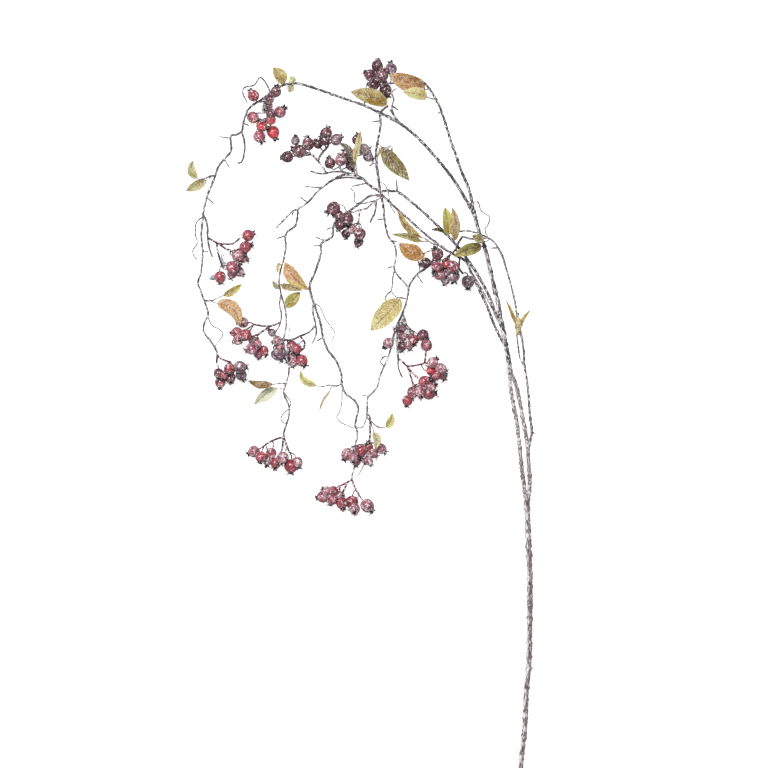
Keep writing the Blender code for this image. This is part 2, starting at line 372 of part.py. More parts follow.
# Leaves: (name, colour, carrying strand, width, roll in degrees, length of the petiole, route
# of the midrib from the petiole's foot to the tip).
LEAVES = [
    ("leaf_01", "olive", "arch_left", 16.5, 15, 1.5, [
        (-81, 376.5, 37), (-84, 380, 41), (-89, 387, 43), (-95, 394.5, 43)]),
    ("leaf_02", "pale", "arch_left", 10.5, -20, 1, [
        (-71, 377.2, 39), (-73, 380, 42), (-77, 384.5, 42.5)]),
    ("leaf_03", "pale", "arch_left", 10, 10, 1, [
        (-72, 376.5, 39), (-75, 373, 36), (-78, 367.5, 35)]),
    ("leaf_04", "olive", "arch_leaf_twig", 20.5, 10, 2, [
        (31, 351, 63), (25.5, 355, 67), (10, 361.5, 68.5), (-10, 367, 65)]),
    ("leaf_05", "tan", "arch_right", 22.5, -15, 4, [
        (76, 371, 47), (71, 370, 49), (62, 374.5, 51.5), (49, 379, 52), (32, 386, 49)]),
    ("leaf_06", "pale", "arch_right", 16, 15, 12, [
        (83, 359, 49), (76, 360.5, 55), (68, 363, 60), (59, 365, 61), (47.5, 366.5, 60)]),
    ("leaf_07", "brown", "descent", 20, 15, 6, [
        (19, 312, 51.5), (25, 305, 55), (35, 292, 57), (45, 281, 56), (54, 270, 53)]),
    ("leaf_08", "olive", "descent", 4, 0, 1, [(18.2, 308, 50), (22, 304, 52), (18.5, 294, 54.5)]),
    ("leaf_09", "brown", "limb_left", 10, 20, 6, [
        (-5, 276, 41), (-7, 284, 43.5), (-10, 297, 45.5), (-14, 306, 45.5), (-23, 312, 43)]),
    ("leaf_10", "pale", "limb_left", 8.5, -20, 16, [
        (-3, 275, 42), (-4, 284, 48), (-5, 294, 52), (-2, 309, 53), (1, 325, 48)]),
    ("leaf_11", "olive", "curtain_leaf_twig", 11, 15, 7, [
        (-171, 273, 26), (-178, 273, 28), (-184.5, 279, 29), (-185.5, 286, 29),
        (-183.5, 293, 28)]),
    ("leaf_12", "olive", "curtain_leaf_twig", 12.5, -15, 7, [
        (-163, 276, 24.6), (-169, 271.5, 23), (-180, 266, 23), (-191.5, 259.5, 22)]),
    ("leaf_13", "olive", "main", 15, -15, 3, [
        (136.5, 198, 40), (131, 197.5, 46), (121, 195.5, 51), (112, 192, 53), (103, 187, 54)]),
    ("leaf_14", "tan", "leaf_twig_high", 10, 20, 6, [
        (73, 206, 43), (62, 210.5, 47), (51, 219.5, 48), (41, 238, 47)]),
    ("leaf_15", "olive", "leaf_twig_high", 8, 0, 7, [
        (76, 203.8, 42.3), (66, 204, 45), (52, 209, 45.5), (35, 211.5, 45)]),
    ("leaf_16", "tan", "limb_right", 21, 15, 12, [
        (83, 194, 35), (75, 193, 37), (68, 189.5, 38.5), (56, 191.5, 39.5), (43, 201.5, 38)]),
    ("leaf_17", "olive", "inner", 16, 20, 2, [
        (98, 208, 46), (97, 213, 50), (96, 226, 53), (93, 240.5, 54)]),
    ("leaf_18", "pale", "inner", 12, -20, 3, [
        (103, 203, 45.5), (104, 208, 53), (105.5, 223, 59), (101, 240.5, 58.5)]),
    ("leaf_19", "brown", "inner", 5, 0, 1, [(94, 212, 46), (88, 216, 51), (78, 216.5, 52)]),
    ("leaf_20", "tan", "outer", 11, 10, 9, [
        (142, 206, 51.6), (137, 203, 57), (132, 205, 59), (123, 210, 59)]),
    ("leaf_21", "tan", "curtain_low_twig", 10, 20, 12, [
        (-161.5, 139.5, 25), (-157, 142, 26), (-149, 145, 28), (-141, 149, 29),
        (-130, 157, 28)]),
    ("leaf_22", "tan", "curtain_low_twig", 18, -15, 8, [
        (-165, 139, 25), (-157, 136, 27), (-146.5, 133.5, 30), (-137.5, 127, 32),
        (-131.5, 112.5, 32)]),
    ("leaf_23", "tan", "drop_left", 18.5, 15, 2, [
        (-83.5, 183, 32), (-81, 178, 34.5), (-75, 167.5, 38), (-67.5, 159, 39), (-54.5, 149.5, 37)]),
    ("leaf_24", "olive", "drop_left", 5.5, 0, 1, [(-85, 179, 32), (-89.5, 178, 35), (-90.5, 169.5, 35)]),
    ("leaf_25", "pale", "drop_left", 7, 15, 1, [(-88, 151, 30.5), (-92, 154, 32), (-96, 161, 32)]),
    ("leaf_26", "brown", "drop_left", 9, 15, 2, [
        (-88.5, 157, 31), (-82, 154.5, 38), (-74, 153, 43), (-63.5, 150, 44)]),
    ("leaf_27", "olive", "right_bridge", 25.5, 12, 2, [
        (45, 142, 29), (42.5, 138.5, 32), (34, 129, 36), (23, 117.5, 36), (11.5, 106, 33)]),
    ("leaf_28", "tan", "outer", 6, 30, 1, [
        (175.8, 104, 29.6), (173, 111, 35.5), (168, 121, 37.5), (164.5, 130, 40), (160.5, 139, 41)]),
    ("leaf_29", "tan", "outer", 6, -30, 1, [
        (174.8, 108, 30.5), (177.5, 114, 34), (180.5, 120, 36), (187, 128.5, 38)]),
    ("leaf_30", "brown", "left_leaf_twig", 11, 25, 8, [
        (-88, 48, 27), (-97, 46.8, 31), (-110, 45.8, 32.5), (-123, 51, 30)]),
    ("leaf_31", "pale", "drop_right", 14, -15, 7, [
        (-83, 42, 25.5), (-92, 42, 25), (-103.5, 36, 24.5), (-116.5, 25, 23)]),
    ("leaf_32", "pale", "low_leaf_twig", 9.5, 15, 5, [
        (-43, 44, 26), (-50, 46, 28), (-57.5, 48.5, 29), (-63, 53, 29), (-65.5, 61.5, 28)]),
    ("leaf_33", "pale", "low_leaf_twig", 4.5, 0, 4, [
        (-31, 46, 25), (-34, 38.5, 26), (-40.5, 29, 26), (-45, 17, 25)]),
    ("leaf_34", "pale", "right_leaf_twig", 10.5, 15, 2, [
        (26, -0.5, 22), (30, 1, 24), (34, 7.5, 25), (35.5, 15, 25)]),
    ("leaf_35", "pale", "right_drop", 10.5, -15, 1, [
        (15, -5, 24.5), (16, -7.5, 27), (18.5, -14, 30), (17, -24.5, 31.5)]),
    ("leaf_36", "olive", "drop_right", 15, -10, 2, [
        (-83, 132.5, 30.5), (-80, 133.5, 34), (-74, 139.5, 35.5), (-66, 148, 34.5)]),
]

# Nodes that reach the surface and are trimmed flat on it.
RESTING = ("stem", "hips_01", "hips_07", "hips_14")


def smooth(points, step):
    """Points about one step apart on a smooth curve through the given ones (mm to metres)."""
    route = [Vector(point) * MM for point in points]
    tangents = []
    for i, point in enumerate(route):
        before, after = route[max(i - 1, 0)], route[min(i + 1, len(route) - 1)]
        span = (point - before).length + (after - point).length
        tangents.append((after - before) / span)
    curve = []
    for a, b, slope_a, slope_b in zip(route, route[1:], tangents, tangents[1:]):
        span = (b - a).length
        count = max(1, round(span / step))
        for k in range(count):
            t = k / count
            curve.append((2 * t**3 - 3 * t**2 + 1) * a + (t**3 - 2 * t**2 + t) * span * slope_a
                         + (3 * t**2 - 2 * t**3) * b + (t**3 - t**2) * span * slope_b)
    curve.append(route[-1])
    return curve


def nearest(path, place):
    """The point of a polyline nearest to a place, with the polyline's direction there."""
    best = None
    for a, b in zip(path, path[1:]):
        along = b - a
        t = min(1.0, max(0.0, (place - a).dot(along) / along.length_squared))
        point = a + t * along
        distance = (place - point).length
        if best is None or distance < best[0]:
            best = (distance, point, along.normalized())
    return best[1], best[2]


def strand_paths():
    """The axis of each strand of the stem, with its radius at the root and at the tip."""
    paths = {}
    for name, parent, root, tip, route in STRANDS:
        step = TENDRIL_STEP if root <= TENDRIL_RADIUS else STRAND_STEP
        path = smooth(route, step)
        if parent:
            path[0] = nearest(paths[parent][0], path[0])[0]
        paths[name] = (path, root * MM, tip * MM)
    return paths


def off_bark(route, strand, half_width, step):
    """A route that starts GAP off a strand's bark, or GAP beyond its cut tip."""
    path, root, tip = strand
    radius = max(root, tip)
    curve = smooth(route, step)
    foot, along = nearest(path, curve[0])
    heading = (curve[1] - foot).normalized()
    if (foot - path[-1]).length < radius:
        outward = (path[-1] - path[-2]).normalized()
        slant = math.sqrt(max(1 - heading.dot(outward)**2, 0.0))
        curve[0] = path[-1] + outward * (GAP + SLANT_ROOM * half_width * slant)
        return curve
    lean = abs(heading.dot(along))
    reach = (radius + GAP + half_width * lean) / math.sqrt(max(1 - lean**2, LEAST_SINE_SQUARED))
    clear = [point for point in curve[1:] if (point - foot).length > reach + MM]
    return [foot + heading * reach] + clear


def peduncle_paths(bunch, paths):
    """The axes of a bunch's peduncles, the first of which starts just off its strand."""
    carrier, routes = bunch[2], bunch[3]
    first = off_bark(routes[0], paths[carrier], PEDUNCLE_RADIUS * MM, STRAND_STEP)
    return [first] + [smooth(route, STRAND_STEP) for route in routes[1:]]


def crown_direction(heading, rise):
    """Unit vector of a hip's axis, from its stalk to its crown."""
    h, r = math.radians(heading), math.radians(rise)
    return Vector((math.cos(h) * math.cos(r), math.sin(h) * math.cos(r), math.sin(r)))


def stalk_path(hip, peduncles):
    """A bowed route from the nearest peduncle point into the stalk end of a hip."""
    centre, radius = Vector(hip[:3]) * MM, hip[3] * MM
    axis = crown_direction(hip[4], hip[5])
    end = centre - axis * radius * STALK_END
    entry = centre - axis * radius * STALK_AIM
    starts = [point for path in peduncles for point in path[1:]]
    start = min(starts, key=lambda point: (point - entry).length)
    route = []
    for k in range(STALK_POINTS):
        t = k / (STALK_POINTS - 1)
        route.append((1 - t)**2 * start + 2 * t * (1 - t) * entry + t**2 * end)
    return route


def evenly(path, spans):
    """Points that split a polyline in equal spans along its length."""
    lengths = [(b - a).length for a, b in zip(path, path[1:])]
    spaced, i, start = [path[0]], 0, 0.0
    for k in range(1, spans):
        goal = sum(lengths) * k / spans
        while start + lengths[i] < goal:
            start += lengths[i]
            i += 1
        spaced.append(path[i].lerp(path[i + 1], (goal - start) / lengths[i]))
    return spaced + [path[-1]]


def beyond(path, length):
    """The part of a polyline that starts a length along it."""
    start = 0.0
    for i, (a, b) in enumerate(zip(path, path[1:])):
        span = (b - a).length
        if start + span > length:
            return [a.lerp(b, (length - start) / span)] + path[i + 1:]
        start += span
    return path[-2:]


def leaf_path(leaf, paths):
    """The petiole's foot, just off the bark, and then the midrib's points to the tip."""
    carrier, width, petiole, route = leaf[2], leaf[3], leaf[5], leaf[6]
    rows = LEAF_ROWS_LARGE if width >= LARGE_LEAF_WIDTH else LEAF_ROWS
    curve = off_bark(route, paths[carrier], PETIOLE_HALF_WIDTH, MIDRIB_STEP)
    return [curve[0]] + evenly(beyond(curve, petiole * MM), rows)


def leaf_rows(leaf, paths):
    """Rows of (left edge, midrib, right edge) down a leaf, ending in its tip."""
    path = leaf_path(leaf, paths)
    width, roll = leaf[3] * MM, math.radians(leaf[4])
    last = len(path) - 1
    rows = []
    for i, point in enumerate(path[:-1]):
        tangent = (path[min(i + 1, last)] - path[max(i - 1, 0)]).normalized()
        side = tangent.cross(Vector((0, 0, 1))).normalized()
        side = Matrix.Rotation(roll, 3, tangent) @ side
        normal = side.cross(tangent).normalized()
        half = PETIOLE_HALF_WIDTH
        if i >= 2:
            t = (i - 1) / (last - 1)
            tooth = 1 - TOOTH_DEPTH * (i % 2)
            outline = math.sin(math.pi * t**BLADE_SKEW) ** BLADE_FULLNESS
            half = max(half, 0.5 * width * outline * tooth)
        cup = LEAF_CUP * (1 - (i / last)**3) if i >= 2 else 0.0
        out, up = side * half * math.cos(cup), normal * half * math.sin(cup)
        rows.append((point - out + up, point, point + out + up))
    return rows, path[-1]


def linear(colour):
    """Linear RGBA of an sRGB hex colour."""
    parts = [int(colour[i:i + 2], 16) / 255 for i in (1, 3, 5)]
    return [c / 12.92 if c <= 0.04045 else ((c + 0.055) / 1.055) ** 2.4 for c in parts] + [1.0]


def material(name, colour, roughness):
    """A plain Principled material, shared by the nodes that use its name."""
    found = bpy.data.materials.get(name)
    if found:
        return found
    made = bpy.data.materials.new(name)
    made.use_nodes = True
    shader = made.node_tree.nodes["Principled BSDF"]
    shader.inputs["Base Color"].default_value = linear(colour)
    shader.inputs["Roughness"].default_value = roughness
    shader.inputs["Metallic"].default_value = 0.0
    return made


def add_object(name, mesh, collection):
    """Link a new mesh object to a collection."""
    made = bpy.data.objects.new(name, mesh)
    collection.objects.link(made)
    return made


def bmesh_object(name, bm, collection):
    """Turn a bmesh into a linked object."""
    mesh = bpy.data.meshes.new(name)
    bm.to_mesh(mesh)
    bm.free()
    return add_object(name, mesh, collection)


def tube(name, path, root, tip, sides, collection):
    """A tapering tube along a path, as a closed mesh made from a bevelled curve."""
    curve = bpy.data.curves.new(name, "CURVE")
    curve.dimensions = "3D"
    curve.bevel_depth = max(root, tip)
    curve.bevel_resolution = (sides - 4) // 2
    curve.use_fill_caps = True
    spline = curve.splines.new("POLY")
    spline.points.add(len(path) - 1)
    for i, place in enumerate(path):
        radius = root + (tip - root) * i / (len(path) - 1)
        spline.points[i].co = (*place, 1.0)
        spline.points[i].radius = radius / curve.bevel_depth
    guide = bpy.data.objects.new(name + "_curve", curve)
    collection.objects.link(guide)
    graph = bpy.context.evaluated_depsgraph_get()
    mesh = bpy.data.meshes.new_from_object(guide.evaluated_get(graph))
    bpy.data.objects.remove(guide)
    weld(mesh)
    return add_object(name, mesh, collection)


def hip_solids(name, hip, collection):
    """A hip's body, and its dried crown: a five-pointed star that flares off its end."""
    centre, radius = Vector(hip[:3]) * MM, hip[3] * MM
    axis = crown_direction(hip[4], hip[5])
    turn = axis.to_track_quat("Z", "Y").to_matrix().to_4x4()
    stretch = Matrix.Diagonal((1, 1, HIP_STRETCH, 1))
    body = bmesh.new()
    bmesh.ops.create_uvsphere(body, u_segments=HIP_SIDES, v_segments=HIP_BANDS, radius=radius,
                              matrix=Matrix.Translation(centre) @ turn @ stretch)
    crown = bmesh.new()
    height = (1 + CROWN_HEIGHT - CROWN_ROOT) * radius
    reach = CROWN_RADIUS * radius
    middle = centre + axis * (CROWN_ROOT * radius + height / 2)
    bmesh.ops.create_cone(crown, cap_ends=True, cap_tris=False, segments=CROWN_SEPALS,
                          radius1=0.0, radius2=reach, depth=height)
    bmesh.ops.transform(crown, matrix=Matrix.Translation(middle) @ turn, verts=crown.verts)
    return [bmesh_object(name, body, collection), bmesh_object(name + "_crown", crown, collection)]


def apply_modifiers(body):
    """Put an object's evaluated mesh in place of its mesh and modifiers."""
    graph = bpy.context.evaluated_depsgraph_get()
    mesh = bpy.data.meshes.new_from_object(body.evaluated_get(graph))
    body.modifiers.clear()
    body.data = mesh


def weld(mesh):
    """Join points that a Boolean left on top of each other, and split faces in triangles."""
    bm = bmesh.new()
    bm.from_mesh(mesh)
    bmesh.ops.remove_doubles(bm, verts=bm.verts, dist=WELD)
    bmesh.ops.triangulate(bm, faces=bm.faces)
    bm.to_mesh(mesh)
    bm.free()


def boolean(body, operand, operation):
    """Apply one exact Boolean with an object or a whole collection."""
    cut = body.modifiers.new("cut", "BOOLEAN")
    cut.operation = operation
    cut.solver = "EXACT"
    if isinstance(operand, bpy.types.Collection):
        cut.operand_type = "COLLECTION"
        cut.collection = operand
    else:
        cut.object = operand
    apply_modifiers(body)
    weld(body.data)


def fuse(name, solids, finish, keep, collection):
    """One closed body from overlapping solids, by one Boolean union on their collection.

    The union's seams are then thinned out, until a share keep of the triangles is left.
    """
    body = solids[0]
    body.name = name
    repeats = bpy.data.collections.new(name + "_repeats")
    bpy.context.scene.collection.children.link(repeats)
    for solid in solids[1:]:
        collection.objects.unlink(solid)
        repeats.objects.link(solid)
    boolean(body, repeats, "UNION")
    for solid in list(repeats.objects):
        bpy.data.objects.remove(solid)
    bpy.data.collections.remove(repeats)
    thinned = body.modifiers.new("thinned", "DECIMATE")
    thinned.ratio = keep
    thinned.use_collapse_triangulate = True
    apply_modifiers(body)
    body.data.name = name
    body.data.materials.clear()
    body.data.materials.append(finish)
    return body


def trim_to_surface(body):
    """Cut off what would reach below the surface, which leaves a small flat spot."""
    bpy.ops.mesh.primitive_cube_add(size=1)
    box = bpy.context.object
    box.scale = FLOOR_BOX
    box.location = (0, 0, -FLOOR_BOX[2] / 2)
    bpy.context.view_layer.update()
    boolean(body, box, "DIFFERENCE")
    bpy.data.objects.remove(box)


def build_stem(paths, collection):
    """The woody stem: every strand and spur fused in one body."""
    solids = []
    for name, (path, root, tip) in paths.items():
        sides = THIN_SIDES if root <= TENDRIL_RADIUS * MM else BRANCH_SIDES
        sides = THICK_SIDES if name in THICK_STRANDS else sides
        solids.append(tube(name, path, root, tip, sides, collection))
    for i, (parent, start, end) in enumerate(SPURS):
        foot = nearest(paths[parent][0], Vector(start) * MM)[0]
        route = [foot, (foot + Vector(end) * MM) / 2, Vector(end) * MM]
        root, tip = (radius * MM for radius in SPUR_RADIUS)
        solids.append(tube(f"spur_{i}", route, root, tip, THIN_SIDES, collection))
    finish = material("bark", BARK, BARK_ROUGHNESS)
    return fuse("stem", solids, finish, STEM_KEEP, collection)


def build_bunch(bunch, paths, collection):
    """One bunch: its peduncles, stalks, hips and crowns fused in one body."""
    name, colour, _, _, hips = bunch
    peduncles = peduncle_paths(bunch, paths)
    thick = PEDUNCLE_RADIUS * MM
    solids = [tube(f"{name}_peduncle_{i}", path, thick, thick, BRANCH_SIDES, collection)
              for i, path in enumerate(peduncles)]
    for i, hip in enumerate(hips):
        route = stalk_path(hip, peduncles)
        solids.append(tube(f"{name}_stalk_{i}", route, STALK_RADIUS, STALK_RADIUS, THIN_SIDES,
                           collection))
        solids += hip_solids(f"{name}_hip_{i}", hip, collection)
    finish = material("hip_" + colour, HIP_COLOURS[colour], HIP_ROUGHNESS)
    return fuse(name, solids, finish, BUNCH_KEEP, collection)


def build_leaf(leaf, paths, collection):
    """One dry leaf: a cupped, toothed blade on its petiole, thickened by Solidify."""
    name, colour = leaf[:2]
    rows, tip = leaf_rows(leaf, paths)
    verts = [point for row in rows for point in row] + [tip]
    faces = []
    for i in range(len(rows) - 1):
        left, rib, right = 3 * i, 3 * i + 1, 3 * i + 2
        faces += [(left, rib, rib + 3), (left, rib + 3, left + 3)]
        faces += [(rib, right, rib + 3), (right, right + 3, rib + 3)]
    end = 3 * (len(rows) - 1)
    faces += [(end, end + 1, len(verts) - 1), (end + 1, end + 2, len(verts) - 1)]
    mesh = bpy.data.meshes.new(name)
    mesh.from_pydata(verts, [], faces)
    mesh.materials.append(material("leaf_" + colour, LEAF_COLOURS[colour], LEAF_ROUGHNESS))
    blade = add_object(name, mesh, collection)
    thickness = blade.modifiers.new("thickness", "SOLIDIFY")
    thickness.thickness = LEAF_THICKNESS
    thickness.offset = 0.0
    return blade


def main():
    """Build the whole sprig."""
    for old in list(bpy.data.objects):
        bpy.data.objects.remove(old)
    collection = bpy.data.collections.new(COLLECTION)
    bpy.context.scene.collection.children.link(collection)
    paths = strand_paths()
    made = [build_stem(paths, collection)]
    made += [build_bunch(bunch, paths, collection) for bunch in BUNCHES]
    for body in made:
        if body.name in RESTING:
            trim_to_surface(body)
    for leaf in LEAVES:
        build_leaf(leaf, paths, collection)


if __name__ == "__main__":
    main()
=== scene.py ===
"""Rose hip sprig lying on a pale floor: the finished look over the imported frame.

Every bark strand, bunch of hips and dry leaf is a surface worked out with numpy on the same
routes as the solids. Lengths in the layout tables are in millimetres, and MM turns them into
metres. The frame has +Z up, the sprig lies on Z = 0 and its crown is towards +Y.
"""

import logging
import math
from collections.abc import Callable
from dataclasses import dataclass, field
from enum import Enum
from functools import partial

import bpy
import numpy as np
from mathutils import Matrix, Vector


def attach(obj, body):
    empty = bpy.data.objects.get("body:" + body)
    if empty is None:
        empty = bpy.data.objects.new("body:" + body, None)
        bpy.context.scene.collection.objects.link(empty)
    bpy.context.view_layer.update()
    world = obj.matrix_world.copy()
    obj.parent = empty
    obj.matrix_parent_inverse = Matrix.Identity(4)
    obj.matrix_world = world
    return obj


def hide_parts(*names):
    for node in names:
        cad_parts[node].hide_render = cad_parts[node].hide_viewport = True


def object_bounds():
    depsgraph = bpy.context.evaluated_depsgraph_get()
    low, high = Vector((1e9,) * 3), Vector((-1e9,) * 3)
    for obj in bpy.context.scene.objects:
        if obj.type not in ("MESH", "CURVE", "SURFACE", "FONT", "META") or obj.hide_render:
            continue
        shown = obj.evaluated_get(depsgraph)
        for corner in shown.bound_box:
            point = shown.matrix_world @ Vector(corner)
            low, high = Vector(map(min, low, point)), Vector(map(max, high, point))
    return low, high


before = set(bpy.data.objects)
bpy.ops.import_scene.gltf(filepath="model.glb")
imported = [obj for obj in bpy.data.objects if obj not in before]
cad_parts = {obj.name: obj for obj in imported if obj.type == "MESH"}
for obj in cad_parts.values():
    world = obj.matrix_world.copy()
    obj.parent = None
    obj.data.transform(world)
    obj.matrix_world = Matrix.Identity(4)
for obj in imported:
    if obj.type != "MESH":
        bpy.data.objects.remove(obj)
CAD_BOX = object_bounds()

LOG = logging.getLogger("rose_hip_sprig")
MM = 0.001
UV_PER_METRE = 10.0           # a leaf's UV map is 0.01 for each millimetre

Point = tuple[float, float, float]
Route = list[Point]
NodeAdder = Callable[..., bpy.types.NodeSocket]

STEEP = 0.85                  # a path that leans more than this on Z is steep
# Numbers of the Mix node's inputs and output: those of a kind share one name.
FACTOR, VALUE_A, VALUE_B, COLOUR_A, COLOUR_B, COLOUR_OUT = 0, 2, 3, 6, 7, 2

